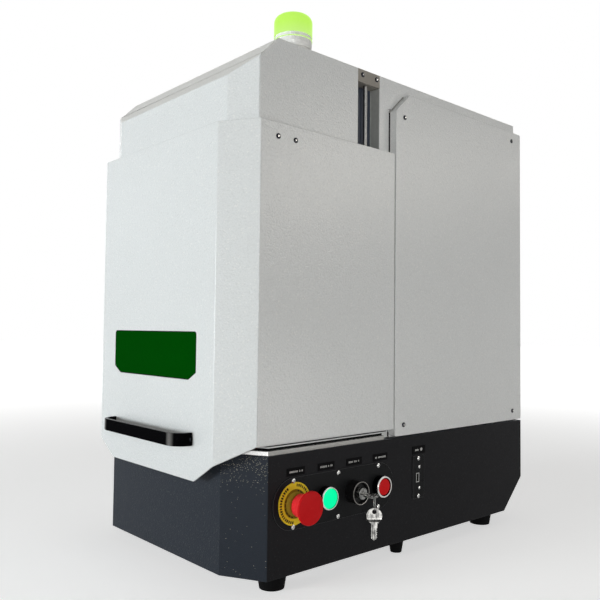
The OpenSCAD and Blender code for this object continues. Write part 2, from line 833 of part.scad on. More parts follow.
module usb_socket() {
    w = usb_hole[0] - 2 * loose;
    h = usb_hole[1] - 2 * loose;
    wall = 0.9;
    color([0.7, 0.7, 0.72]) translate([half_w, usb_hole_at[0], usb_hole_at[1]]) difference() {
        box([-18, -w / 2, -h / 2], [plate_t, w / 2, h / 2]);
        box([-14, -w / 2 + wall, -h / 2 + wall], [plate_t + eps, w / 2 - wall, h / 2 - wall]);
    }
}

module stop_ring() {
    color([0.75, 0.6, 0.1]) on_right(stop_y, control_z, plate_t) difference() {
        rotate_extrude() polygon([
            [hole_r, 0], [ring_d / 2, 0], [ring_d / 2, 0.8], [18, 1.6], [hole_r, 1.6]
        ]);
        // room for the plate's screw heads
        for (x = [-plate_screw_out, plate_screw_out]) translate([x, plate_shift, -eps])
            cylinder(r = panel_head_r + 0.2, h = 4);
    }
}

module stop_body() {
    color([0.75, 0.6, 0.1]) on_right(stop_y, control_z, plate_t) difference() {
        union() {
            translate([0, 0, 1.6]) cylinder(r1 = 15, r2 = 12.5, h = 3.4);
            translate([0, 0, -40]) cylinder(r = hole_r - 0.2, h = 42);
        }
        translate([0, 0, -25]) cylinder(r = stem_r + fit, h = 40);
    }
}

module stop_stem() {
    color([0.5, 0.05, 0.06]) on_right(stop_y, control_z, plate_t) {
        translate([0, 0, -18]) cylinder(r = stem_r, h = 32);
        translate([0, 0, 13.9]) cylinder(r = 4, h = 8);
    }
}

module stop_head() {
    r = stop_d / 2;
    color([0.65, 0.08, 0.1]) on_right(stop_y, control_z, plate_t) difference() {
        rotate_extrude() polygon([
            [0, 10.5], [14, 10.5], [14.6, 11], [15.4, 17.5], [17.4, 23.5], [r - 0.8, 27.7], [r, 28.9],
            [r, 30.5], [r - 0.7, 31.6], [r * 0.55, 32.6], [0, 32.9]
        ]);
        translate([0, 0, 10]) cylinder(r = stem_r + loose, h = 4.3);
        translate([0, 0, 12]) cylinder(r = 4 + fit, h = 10.2);
    }
}

bezel_h = 11;
start_r = bezel_d / 2 - 1.9;    // radius of the start button
reset_r = bezel_d / 2 - 3.5;    // radius of the reset button

module bezel(y, bore_r) {
    on_right(y, control_z, plate_t) difference() {
        union() {
            rotate_extrude() polygon([
                [0, 0], [bezel_d / 2 - 0.6, 0], [bezel_d / 2, 3], [bezel_d / 2, bezel_h - 0.8],
                [bezel_d / 2 - 0.6, bezel_h], [0, bezel_h]
            ]);
            translate([0, 0, -36]) cylinder(r = hole_r - 0.2, h = 37);
        }
        translate([0, 0, bezel_h - 7.5]) cylinder(r = bore_r, h = 10);
        translate([0, 0, -20]) cylinder(r = 5 + fit, h = 40);
    }
}

module button_bezels() {
    color([0.72, 0.72, 0.74]) {
        bezel(start_y, start_r + loose);
        bezel(reset_y, reset_r + 1.3);
    }
}

module cap(y, r) {
    on_right(y, control_z, plate_t) {
        translate([0, 0, bezel_h - 4]) rotate_extrude() polygon([
            [0, 0], [r, 0], [r, 2.8], [r - 1, 3.6], [r * 0.5, 4.1], [0, 4.3]
        ]);
        translate([0, 0, -14]) cylinder(r = 5, h = bezel_h + 10.1);
    }
}

module start_cap() {
    color([0, 0.85, 0.55]) cap(start_y, start_r);
}

module reset_cap() {
    color([0.6, 0.1, 0.1]) cap(reset_y, reset_r);
}

lock_r = 7.8;
lock_out = 20;
switch_h = 16;
switch_r = 15.6;

module key_switch() {
    color([0.05, 0.05, 0.05]) on_right(key_y, control_z, plate_t) difference() {
        union() {
            rotate_extrude() polygon([
                [0, 0], [switch_r, 0], [switch_r, switch_h - 0.6], [switch_r - 0.6, switch_h],
                [switch_r - 1.4, switch_h], [switch_r - 2.2, switch_h - 5.5], [0, switch_h - 5.5]
            ]);
            translate([0, 0, -36]) cylinder(r = hole_r - 0.2, h = 37);
        }
        translate([0, 0, -16]) cylinder(r = lock_r + fit, h = 40);
    }
}

key_t = 1.8;
blade_w = 7.9;
blade_l = 19;

module key_barrel() {
    color([0.7, 0.7, 0.71]) on_right(key_y, control_z, plate_t) difference() {
        union() {
            translate([0, 0, -15]) cylinder(r = lock_r, h = lock_out + 14);
            translate([0, 0, lock_out - 1.5]) cylinder(r1 = lock_r, r2 = lock_r - 1, h = 1.5);
        }
        translate([-key_t / 2 - 0.1, -blade_w / 2 - 0.1, lock_out - blade_l - 1])
            cube([key_t + 0.2, blade_w + 0.2, blade_l + 1 + eps]);
    }
}

bow_r = 10.3;
bow_hole_r = 3;
bow_web = 2;
neck_l = 2.5;

// a key lying in its own plane: blade down to -Y, bow up, thickness along Z
module key_shape() {
    translate([0, 0, -key_t / 2]) difference() {
        union() {
            translate([0, bow_r, 0]) cylinder(r = bow_r, h = key_t);
            linear_extrude(key_t) polygon([
                [-blade_w / 2, bow_r], [-blade_w / 2, 3 - neck_l - blade_l], [0, -neck_l - blade_l],
                [blade_w / 2, 3 - neck_l - blade_l], [blade_w / 2, bow_r]
            ]);
        }
        translate([0, 2 * bow_r - bow_hole_r - bow_web, -eps]) cylinder(r = bow_hole_r, h = key_t + 2 * eps);
        // bitting along one edge
        for (k = [0 : 4]) translate([blade_w / 2, -neck_l - 4 - 3 * k, 0]) rotate([0, 0, 45])
            cube([1.6 + 0.5 * (k % 2), 1.6 + 0.5 * (k % 2), 4 * key_t], center = true);
        // long grooves in the blade and a recessed band across the bow, on both faces
        for (z = [-1, 1]) translate([0, 0, key_t / 2 + z * (key_t - 0.4)]) {
            translate([-1.8, -neck_l - blade_l / 2, 0]) cube([1, blade_l + neck_l, key_t], center = true);
            translate([0.6, -neck_l - blade_l / 2 - 2, 0]) cube([0.8, blade_l - 2, key_t], center = true);
            translate([0, 4, 0]) cube([2 * bow_r, 3.4, key_t], center = true);
        }
    }
}

key_x = half_w + plate_t + lock_out + neck_l;          // where the bow starts
bow_hole_x = key_x + 2 * bow_r - bow_hole_r - bow_web; // the hole in the key's bow
link_r = 9.5;
wire_r = 0.7;
link_turn = -41.75;                                    // turn of the hanging ring about the vertical
link_out = 6.6;                                        // from the hole to the ring's middle
link_x = bow_hole_x + link_out * cos(link_turn);
link_y = key_y + link_out * sin(link_turn);
link_z = control_z - 6.8;
spare_top = link_z - link_r + wire_r + 0.25 + bow_web; // top of the hanging key

module key() {
    color([0.75, 0.74, 0.7]) translate([key_x, key_y, control_z]) rotate([0, 0, -90]) key_shape();
}

module key_ring() {
    color([0.8, 0.8, 0.8]) translate([link_x, link_y, link_z]) rotate([90, 0, link_turn])
        rotate_extrude() translate([link_r, 0]) circle(r = wire_r, $fn = 16);
}

module spare_key() {
    color([0.75, 0.74, 0.7]) translate([link_x, link_y, spare_top - 2 * bow_r])
        rotate([90, 0, 90 + link_turn]) key_shape();
}

// ---- door ----
door_plan = plan(door_half, door_front, door_back, door_cut_x, door_cut_y);
chamfer_drop = skirt_drop * 0.52;
door_rim = 8;
skirt_low = door_low - skirt_drop;
door_face = [
    [-skirt_w / 2, skirt_low], [skirt_w / 2, skirt_low],
    [door_half - door_cut_x, door_low - chamfer_drop], [door_half, door_low],
    [door_half, door_top], [-door_half, door_top],
    [-door_half, door_low], [-door_half + door_cut_x, door_low - chamfer_drop]
];
window_cut = [18, 10];
window_outline = [
    [-window_w / 2 + window_cut[0], window_z], [window_w / 2 - window_cut[0], window_z],
    [window_w / 2, window_z + window_cut[1]], [window_w / 2, window_z + window_h],
    [-window_w / 2, window_z + window_h], [-window_w / 2, window_z + window_cut[1]]
];
pad_y = [door_front + 57.7, door_front + 86.8];
pad_z = door_top - 18;
handle_leg_x = handle_w / 2 - handle_t / 2;

module door_inside(t, z0, z1) {
    prism(rounded(inset(door_plan, t), max(fold_r - t, 0), front_folds), z0, z1);
}

module door_shell() {
    color([0.86, 0.88, 0.9]) difference() {
        intersection() {
            prism(rounded(door_plan, fold_r, front_folds), skirt_low, door_top);
            prism_y(door_face, door_front - eps, door_back + eps);
        }
        door_inside(door_t, skirt_low - eps, door_top - door_t);
        door_inside(door_t + door_rim, skirt_low - eps, door_top + eps);
        // open back between two narrow lips
        box([-door_half + door_t + door_rim, door_back - 2 * door_t - door_rim, skirt_low - eps],
            [door_half - door_t - door_rim, door_back + eps, door_top + eps]);
        prism_y(rounded(window_outline, 4, [3, 4]), door_front - eps, door_front + door_t + eps);
        both_sides() {
            for (y = pad_y) translate([door_half - door_t - eps, y, pad_z]) rotate([0, 90, 0])
                cylinder(r = screw_r + 0.2, h = door_t + 2 * eps);
            translate([handle_leg_x, door_front - eps, handle_z]) rotate([-90, 0, 0])
                cylinder(r = screw_r + 0.2, h = door_t + 2 * eps);
        }
    }
}

pane_t = 3;
pane_lap = 9;

gasket_gap = 0.15;
gasket_w = 1;

module window_pane() {
    y = door_front + door_t;
    color([0, 0.26, 0]) {
        prism_y(inset(window_outline, -pane_lap), y, y + pane_t);
        // raised middle, nearly flush with the door
        prism_y(rounded(inset(window_outline, gasket_gap + gasket_w), 3, [3, 4]), door_front + 0.5, y);
    }
}

module window_gasket() {
    color([0.06, 0.05, 0.06]) difference() {
        prism_y(rounded(inset(window_outline, gasket_gap), 4, [3, 4]), door_front + 0.3, door_front + door_t);
        prism_y(rounded(inset(window_outline, gasket_gap + gasket_w), 3, [3, 4]),
            door_front, door_front + door_t + eps);
    }
}

module door_handle() {
    z0 = handle_z - handle_h / 2;
    z1 = handle_z + handle_h / 2;
    bend_x = handle_w / 2 - handle_r;
    y0 = door_front - handle_out;
    color([0.05, 0.05, 0.05]) difference() {
        union() {
            box([-bend_x, y0, z0], [bend_x, y0 + handle_t, z1]);
            both_sides() {
                translate([bend_x, y0 + handle_r, z0]) rotate([0, 0, -90]) rotate_extrude(angle = 90)
                    translate([handle_r - handle_t, 0]) square([handle_t, handle_h]);
                box([handle_w / 2 - handle_t, y0 + handle_r, z0], [handle_w / 2, door_front, z1]);
            }
        }
        both_sides() translate([handle_leg_x, door_front - 6, handle_z]) rotate([-90, 0, 0])
            cylinder(r = screw_r + fit, h = 6 + eps);
    }
}

module door_screws() {
    color([0.15, 0.15, 0.17]) both_sides() {
        for (y = pad_y) translate([door_half, y, pad_z]) rotate([0, 90, 0]) button_screw(9);
        translate([handle_leg_x, door_front + door_t, handle_z]) rotate([-90, 0, 0]) button_screw(7);
    }
}

bush_r = 6.5;
carriage_w = 36;
door_inner = door_half - door_t;
low_carriage = deck_top + low_block_h + 8;
high_carriage = block_low - door_travel - carriage_h - 3;

module door_carriages() {
    color([0.35, 0.36, 0.38]) both_sides() for (z = [low_carriage, high_carriage]) difference() {
        box([slot_floor + 2.5, guide_y - carriage_w / 2, z],
            [door_inner, guide_y + carriage_w / 2, z + carriage_h]);
        translate([rod_x, guide_y, z - eps]) cylinder(r = bush_r, h = carriage_h + 2 * eps);
    }
}

module rod_bushes() {
    color([0.8, 0.8, 0.8]) both_sides() for (z = [low_carriage, high_carriage])
        translate([rod_x, guide_y, z + 2]) tube(bush_r, rod_d / 2 + fit, carriage_h - 4);
}

module door_pads() {
    color([0.9, 0.9, 0.88]) both_sides() difference() {
        box([hood_half + 0.6, pad_y[0] - 6, pad_z - 8], [door_inner, pad_y[1] + 6, pad_z + 8]);
        for (y = pad_y) translate([door_inner - 8, y, pad_z]) rotate([0, 90, 0])
            cylinder(r = screw_r + fit, h = 8 + eps);
    }
}

// ---- head column, carriage and drive ----
column_half = 50;
column_top = deck_top + column_h;
rail_x = 36;
rail_w = 12;
rail_h = 8;
groove_half = 18;
screw_y = column_front + 18;
screw_rad = screw_d / 2;

module head_column() {
    color([0.75, 0.76, 0.78]) difference() {
        union() {
            box([-column_half, column_front, deck_top], [column_half, wall_front, column_top]);
            for (x = [-rail_x, rail_x]) box([x - rail_w / 2, column_front - rail_h, deck_top + 100],
                [x + rail_w / 2, column_front, column_top]);
        }
        box([-groove_half, column_front - rail_h - eps, deck_top + 20],
            [groove_half, wall_front - 14, column_top + eps]);
        translate([0, screw_y, deck_top + 4]) cylinder(r = screw_rad + fit, h = 20);
        // hollow behind each rail
        for (x = [-rail_x, rail_x]) box([x - 9, column_front + 8, deck_top - eps],
            [x + 9, wall_front - 8, column_top + eps]);
    }
}

head_z = 530;          // underside of the head's shelf
head_y = table_y;
shelf_t = 8;
saddle_t = 10;
saddle_back = column_front - rail_h - 3;
saddle_half = 55;
saddle_low = head_z - 60;
saddle_high = head_z + 40;
nut_r = 14;
galvo_x = [-45, 60];
galvo_h = 88;
galvo_len = 100;
mirror_z = head_z - 44;
mirror_gap = 18;
galvo_can_r = 13;
shaft_r = 2.5;

module head_carriage() {
    shelf_front = head_y - galvo_len / 2;
    color([0.25, 0.26, 0.28]) difference() {
        union() {
            box([-saddle_half, saddle_back - saddle_t, saddle_low], [saddle_half, saddle_back, saddle_high]);
            box([-saddle_half, shelf_front, head_z], [saddle_half, saddle_back - saddle_t, head_z + shelf_t]);
            // gussets
            for (x = [-saddle_half, saddle_half - 6]) prism_x([
                [shelf_front + 20, head_z + shelf_t], [saddle_back - saddle_t, head_z + shelf_t],
                [saddle_back - saddle_t, saddle_high]
            ], x, x + 6);
            // rail runners
            for (x = [-rail_x, rail_x], z = [saddle_low + 4, saddle_high - 34])
                box([x - 11, saddle_back, z], [x + 11, column_front - 1, z + 30]);
            // drive nut
            box([-nut_r, saddle_back, head_z - 15], [nut_r, screw_y + screw_rad + 4, head_z + 15]);
        }
        for (x = [-rail_x, rail_x])
            box([x - rail_w / 2 - loose, column_front - rail_h - loose, saddle_low - eps],
                [x + rail_w / 2 + loose, column_front + eps, saddle_high + eps]);
        translate([0, screw_y, head_z - 16]) cylinder(r = screw_rad + fit, h = 32);
        // the upright scanner stands through the shelf
        translate([0, head_y + mirror_gap / 2, head_z - eps])
            cylinder(r = galvo_can_r + 1, h = shelf_t + 2 * eps);
    }
}

module lead_screw() {
    color([0.7, 0.7, 0.71]) translate([0, screw_y, deck_top + 5])
        cylinder(r = screw_rad, h = column_top - deck_top + 10);
}

motor_w = 57;

module head_motor() {
    color([0.08, 0.08, 0.09]) difference() {
        union() {
            translate([-motor_w / 2, screw_y - motor_w / 2 + 3, column_top]) cube([motor_w, motor_w - 3, 6]);
            translate([1 - motor_w / 2, screw_y - motor_w / 2 + 3, column_top + 6])
                cube([motor_w - 2, motor_w - 4, 40]);
        }
        translate([0, screw_y, column_top - eps]) cylinder(r = screw_rad + loose, h = 18);
    }
}

module galvo_head() {
    wall = 10;
    y0 = head_y - galvo_len / 2;
    y1 = head_y + galvo_len / 2;
    z0 = head_z - galvo_h;
    my1 = head_y + mirror_gap / 2;
    my2 = head_y - mirror_gap / 2;
    color([0.1, 0.1, 0.11]) difference() {
        union() {
            box([galvo_x[0], y0, z0], [galvo_x[1], y1, head_z]);
            // upright scanner can
            translate([0, my1, head_z]) cylinder(r = galvo_can_r, h = 40);
            // level scanner can
            translate([galvo_x[1], my2, mirror_z]) rotate([0, 90, 0]) cylinder(r = galvo_can_r, h = 36);
        }
        box([galvo_x[0] + wall, y0 + wall, z0 + wall], [galvo_x[1] - wall - 15, y1 - wall, head_z - 15]);
        translate([0, my2, z0 - eps]) cylinder(r = 26, h = wall + 2 * eps);
        // beam port
        translate([galvo_x[0] - eps, my1, mirror_z]) rotate([0, 90, 0]) cylinder(r = 8, h = wall + 2 * eps);
        translate([0, my1, head_z - 20]) cylinder(r = shaft_r + fit, h = 40);
        translate([galvo_x[1] - 30, my2, mirror_z]) rotate([0, 90, 0]) cylinder(r = shaft_r + fit, h = 50);
    }
}

// mirror blade on its shaft, shaft along +Z from 8 up
module mirror_blade(w, l, shaft_l) {
    rotate([0, 0, 45]) translate([-w / 2, -0.9, -l / 2]) cube([w, 1.8, l]);
    translate([0, 0, l / 2 - 1]) cylinder(r = shaft_r, h = shaft_l);
}

module x_mirror() {
    color([0.85, 0.8, 0.6]) translate([0, head_y + mirror_gap / 2, mirror_z]) mirror_blade(13, 18, 48);
}

module y_mirror() {
    color([0.85, 0.8, 0.6]) translate([0, head_y - mirror_gap / 2, mirror_z]) rotate([0, 90, 0])
        mirror_blade(18, 24, 66);
}

module scan_lens() {
    r = lens_d / 2;
    z1 = head_z - galvo_h;
    color([0.08, 0.08, 0.09]) translate([0, head_y - mirror_gap / 2, z1 - lens_h]) difference() {
        rotate_extrude() polygon([
            [0, 5], [r - 10, 5], [r - 8, 0], [r - 2, 0], [r, 2], [r, lens_h * 0.55], [r - 4, lens_h * 0.62],
            [r - 4, lens_h * 0.72], [r - 10, lens_h * 0.8], [r - 10, lens_h], [0, lens_h]
        ]);
        for (a = [0 : 15 : 345]) rotate([0, 0, a]) translate([r + 0.6, 0, lens_h * 0.3])
            cylinder(r = 1.5, h = lens_h * 0.2, $fn = 16);
    }
}

module beam_isolator() {
    my1 = head_y + mirror_gap / 2;
    color([0.7, 0.71, 0.73]) translate([galvo_x[0], my1, mirror_z]) rotate([0, -90, 0]) difference() {
        rotate_extrude() polygon([
            [0, 0], [24, 0], [24, 6], [19, 6], [19, 84], [16, 88], [16, 104], [6, 110], [6, 118], [0, 118]
        ]);
        translate([0, 0, -eps]) cylinder(r = 8, h = 20);
    }
}

// ---- rear bay ----
source_wall = 8;
supply_wall = 2;

module laser_source() {
    lo = [-140, wall_front + 110, base_top];
    hi = [140, hood_back - 40, base_top + 92];
    color([0.2, 0.2, 0.22]) difference() {
        union() {
            box(lo, hi);
            // fiber outlet boss
            translate([-60, lo[1], base_top + 45]) rotate([90, 0, 0]) cylinder(r = 12, h = 18);
        }
        // hollow case
        box([lo[0] + source_wall, lo[1] + source_wall, lo[2] - eps],
            [hi[0] - source_wall, hi[1] - source_wall, hi[2] - 20]);
        // cooling fins along the top
        for (k = [0 : 12]) box([lo[0] + 12 + 20 * k, lo[1] - eps, hi[2] - 12],
            [lo[0] + 24 + 20 * k, hi[1] + eps, hi[2] + eps]);
    }
}

module power_supply() {
    y0 = wall_front + wall_t;
    color([0.7, 0.71, 0.72]) difference() {
        box([-57, y0, 300], [57, y0 + 50, 515]);
        box([-57 + supply_wall, y0 - eps, 300 + supply_wall],
            [57 - supply_wall, y0 + 50 - supply_wall, 515 - supply_wall]);
        for (x = [-4 : 4], z = [0 : 8]) translate([x * 11, y0 + 46, 330 + z * 19]) rotate([-90, 0, 0])
            cylinder(r = 3, h = 6);
    }
}

base_shell();
base_floor();
corner_feet();
middle_feet();
deck_plate();
sill_plate();
sill_seals();
work_table();
hood_shell();
partition_wall();
guide_channels();
guide_rods();
rod_end_blocks();
left_side_cover();
right_side_cover();
cover_screws();
rear_panel();
fan_housing();
fan_guard();
fan_rotor();
mains_inlet();
mains_rocker();
lamp_foot();
lamp_lens();
lamp_led();
control_plate();
panel_screws();
usb_plate();
usb_socket();
stop_ring();
stop_body();
stop_stem();
stop_head();
button_bezels();
start_cap();
reset_cap();
key_switch();
key_barrel();
key();
key_ring();
spare_key();
door_shell();
window_pane();
window_gasket();
door_handle();
door_screws();
door_carriages();
rod_bushes();
door_pads();
head_column();
head_carriage();
lead_screw();
head_motor();
galvo_head();
x_mirror();
y_mirror();
scan_lens();
beam_isolator();
laser_source();
power_supply();
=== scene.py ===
import json
import math
import bpy
import bmesh
from mathutils import Matrix, Vector


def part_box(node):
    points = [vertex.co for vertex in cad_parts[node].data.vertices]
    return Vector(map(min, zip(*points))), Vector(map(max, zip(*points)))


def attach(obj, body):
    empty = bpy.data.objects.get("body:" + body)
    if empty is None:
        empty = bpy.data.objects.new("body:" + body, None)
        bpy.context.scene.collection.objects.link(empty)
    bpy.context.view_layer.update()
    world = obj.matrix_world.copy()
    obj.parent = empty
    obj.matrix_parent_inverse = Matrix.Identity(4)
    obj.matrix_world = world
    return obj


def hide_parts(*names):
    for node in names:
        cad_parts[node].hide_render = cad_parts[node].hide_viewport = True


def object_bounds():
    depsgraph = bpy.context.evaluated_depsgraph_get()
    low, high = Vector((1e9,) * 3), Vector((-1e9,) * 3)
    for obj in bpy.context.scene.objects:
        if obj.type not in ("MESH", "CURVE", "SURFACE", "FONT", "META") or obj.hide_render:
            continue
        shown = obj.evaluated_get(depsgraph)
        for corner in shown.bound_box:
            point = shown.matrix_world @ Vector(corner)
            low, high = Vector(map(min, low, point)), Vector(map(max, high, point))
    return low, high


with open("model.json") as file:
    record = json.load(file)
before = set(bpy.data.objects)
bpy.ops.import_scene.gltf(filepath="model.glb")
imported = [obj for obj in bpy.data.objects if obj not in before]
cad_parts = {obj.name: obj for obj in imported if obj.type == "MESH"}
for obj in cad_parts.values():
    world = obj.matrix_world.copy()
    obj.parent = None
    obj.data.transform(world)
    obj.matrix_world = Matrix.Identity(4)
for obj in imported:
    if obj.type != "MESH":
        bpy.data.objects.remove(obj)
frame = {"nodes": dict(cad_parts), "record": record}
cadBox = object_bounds()
nodes = frame["nodes"]
scene = bpy.context.scene
scene.view_settings.view_transform = "Standard"


def newGroup(name, inputs, outputs):
    group = bpy.data.node_groups.new(name, "ShaderNodeTree")
    for label, kind, value in inputs:
        s = group.interface.new_socket(label, in_out="INPUT", socket_type=kind)
        s.default_value = value
    for label, kind in outputs:
        group.interface.new_socket(label, in_out="OUTPUT", socket_type=kind)
    return group, group.nodes.new("NodeGroupInput"), group.nodes.new("NodeGroupOutput")


class Wiring:
    # short ways to add and join the nodes of one tree, for shading or for geometry
    def __init__(self, tree):
        self.tree = tree

    def add(self, kind, **settings):
        n = self.tree.nodes.new(kind)
        for k, v in settings.items():
            setattr(n, k, v)
        return n

    def put(self, socket, value):
        if hasattr(value, "is_linked"):
            self.tree.links.new(value, socket)
        elif value is not None:
            socket.default_value = value

    def make(self, kind, values, **settings):
        # adds a node and sets or joins its inputs by name or number
        n = self.add(kind, **settings)
        for k, v in values.items():
            self.put(n.inputs[k], v)
        return n

    def math(self, operation, a, b=None, clamp=False):
        n = self.add("ShaderNodeMath", operation=operation, use_clamp=clamp)
        self.put(n.inputs[0], a)
        self.put(n.inputs[1], b)
        return n.outputs[0]

    def place(self):
        return self.add("ShaderNodeTexCoord").outputs["Object"]

    def split(self, vector):
        return self.make("ShaderNodeSeparateXYZ", {0: vector}).outputs

    def vector(self, x=None, y=None, z=None):
        return self.make("ShaderNodeCombineXYZ", {0: x, 1: y, 2: z}).outputs[0]

    def noise(self, vector, scale, detail=2, roughness=0.5):
        return self.make("ShaderNodeTexNoise", {
            "Vector": vector, "Scale": scale, "Detail": detail, "Roughness": roughness}).outputs[0]

    def cells(self, vector, scale, feature="F1"):
        return self.make("ShaderNodeTexVoronoi", {"Vector": vector, "Scale": scale}, feature=feature)

    def span(self, value, low, high, newLow, newHigh):
        values = dict(enumerate((value, low, high, newLow, newHigh)))
        return self.make("ShaderNodeMapRange", values, clamp=True).outputs[0]

    def blend(self, share, a, b, mode="MIX"):
        return self.make("ShaderNodeMix", {0: share, 6: a, 7: b},
                         data_type="RGBA", blend_type=mode).outputs[2]

    def bump(self, height, distance):
        return self.make("ShaderNodeBump", {
            "Height": height, "Distance": distance, "Strength": 1.0}).outputs[0]

    def real(self, geometry):
        return self.make("GeometryNodeRealizeInstances", {0: geometry}).outputs[0]

    def moved(self, geometry, by=None, turn=None):
        return self.make("GeometryNodeTransform", {
            "Geometry": geometry, "Translation": by, "Rotation": turn}).outputs[0]

    def copies(self, points, instance, turn=None, size=None):
        return self.make("GeometryNodeInstanceOnPoints", {
            "Points": points, "Instance": instance, "Rotation": turn, "Scale": size}).outputs[0]

    def random(self, low, high, seed):
        return self.make("FunctionNodeRandomValue", {2: low, 3: high, "Seed": seed},
                         data_type="FLOAT").outputs[1]


cameraView = {
    "place": (0.8631, -0.8177, 0.3305),
    "turn": 48.25,          # degrees away from looking along +Y, towards -X
    "lookUp": 2.45,
    "roll": 0.63,
    "lens": 41.45,
}


def makeCamera(v):
    turn, lookUp, roll = (math.radians(v[k]) for k in ("turn", "lookUp", "roll"))
    ahead = Vector((-math.sin(turn) * math.cos(lookUp), math.cos(turn) * math.cos(lookUp), math.sin(lookUp)))
    right = Vector((math.cos(turn), math.sin(turn), 0))
    up = right.cross(ahead)
    side = right * math.cos(roll) + up * math.sin(roll)
    top = up * math.cos(roll) - right * math.sin(roll)
    data = bpy.data.cameras.new("camera")
    data.lens = v["lens"]
    data.sensor_width = 36
    data.clip_start, data.clip_end = 0.01, 50
    cam = bpy.data.objects.new("camera", data)
    cam.matrix_world = Matrix((
        (side.x, top.x, -ahead.x, v["place"][0]),
        (side.y, top.y, -ahead.y, v["place"][1]),
        (side.z, top.z, -ahead.z, v["place"][2]),
        (0, 0, 0, 1),
    ))
    scene.collection.objects.link(cam)
    scene.camera = cam


studio = {
    "skyHigh": (0.055, 0.053, 0.048, 1),     # light from above
    "skyLow": (0.13, 0.13, 0.126, 1),       # light from around
    "lamps": [
        # name, place, aimed at, width, height, watts, color, lights dull surfaces too
        ("frontLamp", (-0.95, -3.2, 0.4), (0, 0, 0.35), 1.2, 0.7, 59, (0.92, 0.98, 1.0), True),
        ("sideLamp", (2.5, -2.0, 0.7), (0, 0, 0.3), 0.9, 0.9, 22.5, (1.0, 0.985, 0.955), True),
        ("glintLamp", (1.7, 1.05, 0.98), (0.2, -0.2, 0.55), 0.5, 0.2, 2.3, (1.0, 0.95, 0.86), False),
        ("wideGlint", (1.75, 2.0, 1.15), (0.2, 0.1, 0.55), 1.3, 0.2, 2.2, (1.0, 0.95, 0.86), False),
        ("foldGlint", (1.7, -2.2, 0.45), (0.18, -0.28, 0.25), 0.15, 0.15, 1.2, (1.0, 0.97, 0.9), False),
        ("lowLamp", (1.35, 0.25, 0.06), (0.2, 0.0, 0.22), 1.0, 0.1, 2.4, (1.0, 0.99, 0.97), True),
        ("topLamp", (0.3, 0.6, 3.0), (0, 0, 0.4), 2.2, 2.2, 3, (1.0, 0.97, 0.92), True),
    ],
    "floorColor": (0.9, 0.9, 0.9, 1),
    "floorGlow": (0.55, 1.0),               # near the object and far off
    "floorReach": (0.6, 3.0),
}


def seenDirectly(w):
    # 1 for what the camera sees, also in metal and through glass
    path = w.add("ShaderNodeLightPath").outputs
    first = w.math("MAXIMUM", path["Is Camera Ray"], path["Is Transmission Ray"])
    return w.math("MAXIMUM", first, path["Is Glossy Ray"])


def makeWorld(s):
    world = bpy.data.worlds.new("studioWorld")
    scene.world = world
    world.use_nodes = True
    world.node_tree.nodes.clear()
    w = Wiring(world.node_tree)
    # the lighting sky is a little dimmer overhead
    height = w.split(w.add("ShaderNodeTexCoord").outputs["Generated"])["Z"]
    sky = w.blend(w.span(height, 0, 1, 0, 1), s["skyLow"], s["skyHigh"])
    light = w.make("ShaderNodeBackground", {"Color": sky})
    shown = w.make("ShaderNodeBackground", {"Color": (1, 1, 1, 1)})
    mix = w.make("ShaderNodeMixShader", {0: seenDirectly(w), 1: light.outputs[0], 2: shown.outputs[0]})
    w.put(w.add("ShaderNodeOutputWorld").inputs[0], mix.outputs[0])


def makeFloor(s):
    mesh = bpy.data.meshes.new("floor")
    r = 14
    mesh.from_pydata([(-r, -r, 0), (r, -r, 0), (r, r, 0), (-r, r, 0)], [], [(0, 1, 2, 3)])
    floor = bpy.data.objects.new("floor", mesh)
    scene.collection.objects.link(floor)
    mat = bpy.data.materials.new("floorPale")
    mat.use_nodes = True
    w, bsdf = Wiring(mat.node_tree), mat.node_tree.nodes["Principled BSDF"]
    for label, value in (("Base Color", s["floorColor"]), ("Roughness", 0.9), ("Specular IOR Level", 0.1),
                         ("Emission Color", (1, 1, 1, 1))):
        bsdf.inputs[label].default_value = value
    away = w.make("ShaderNodeVectorMath", {0: w.place()}, operation="LENGTH").outputs["Value"]
    glow = w.make("ShaderNodeMapRange", dict(enumerate((away, *s["floorReach"], *s["floorGlow"]))),
                  interpolation_type="SMOOTHSTEP").outputs[0]
    w.put(bsdf.inputs["Emission Strength"], w.math("MULTIPLY", glow, seenDirectly(w)))
    mesh.materials.append(mat)


def makeLamps(s):
    for name, place, aim, width, height, watts, color, dull in s["lamps"]:
        data = bpy.data.lights.new(name, "AREA")
        data.shape = "RECTANGLE"
        data.size, data.size_y = width, height
        data.energy = watts
        data.color = color
        lamp = bpy.data.objects.new(name, data)
        lamp.visible_diffuse = dull
        lamp.location = place
        lamp.rotation_euler = (Vector(aim) - Vector(place)).to_track_quat("-Z", "Y").to_euler()
        scene.collection.objects.link(lamp)


makeCamera(cameraView)
makeWorld(studio)
makeFloor(studio)
makeLamps(studio)
print("camera and studio done")


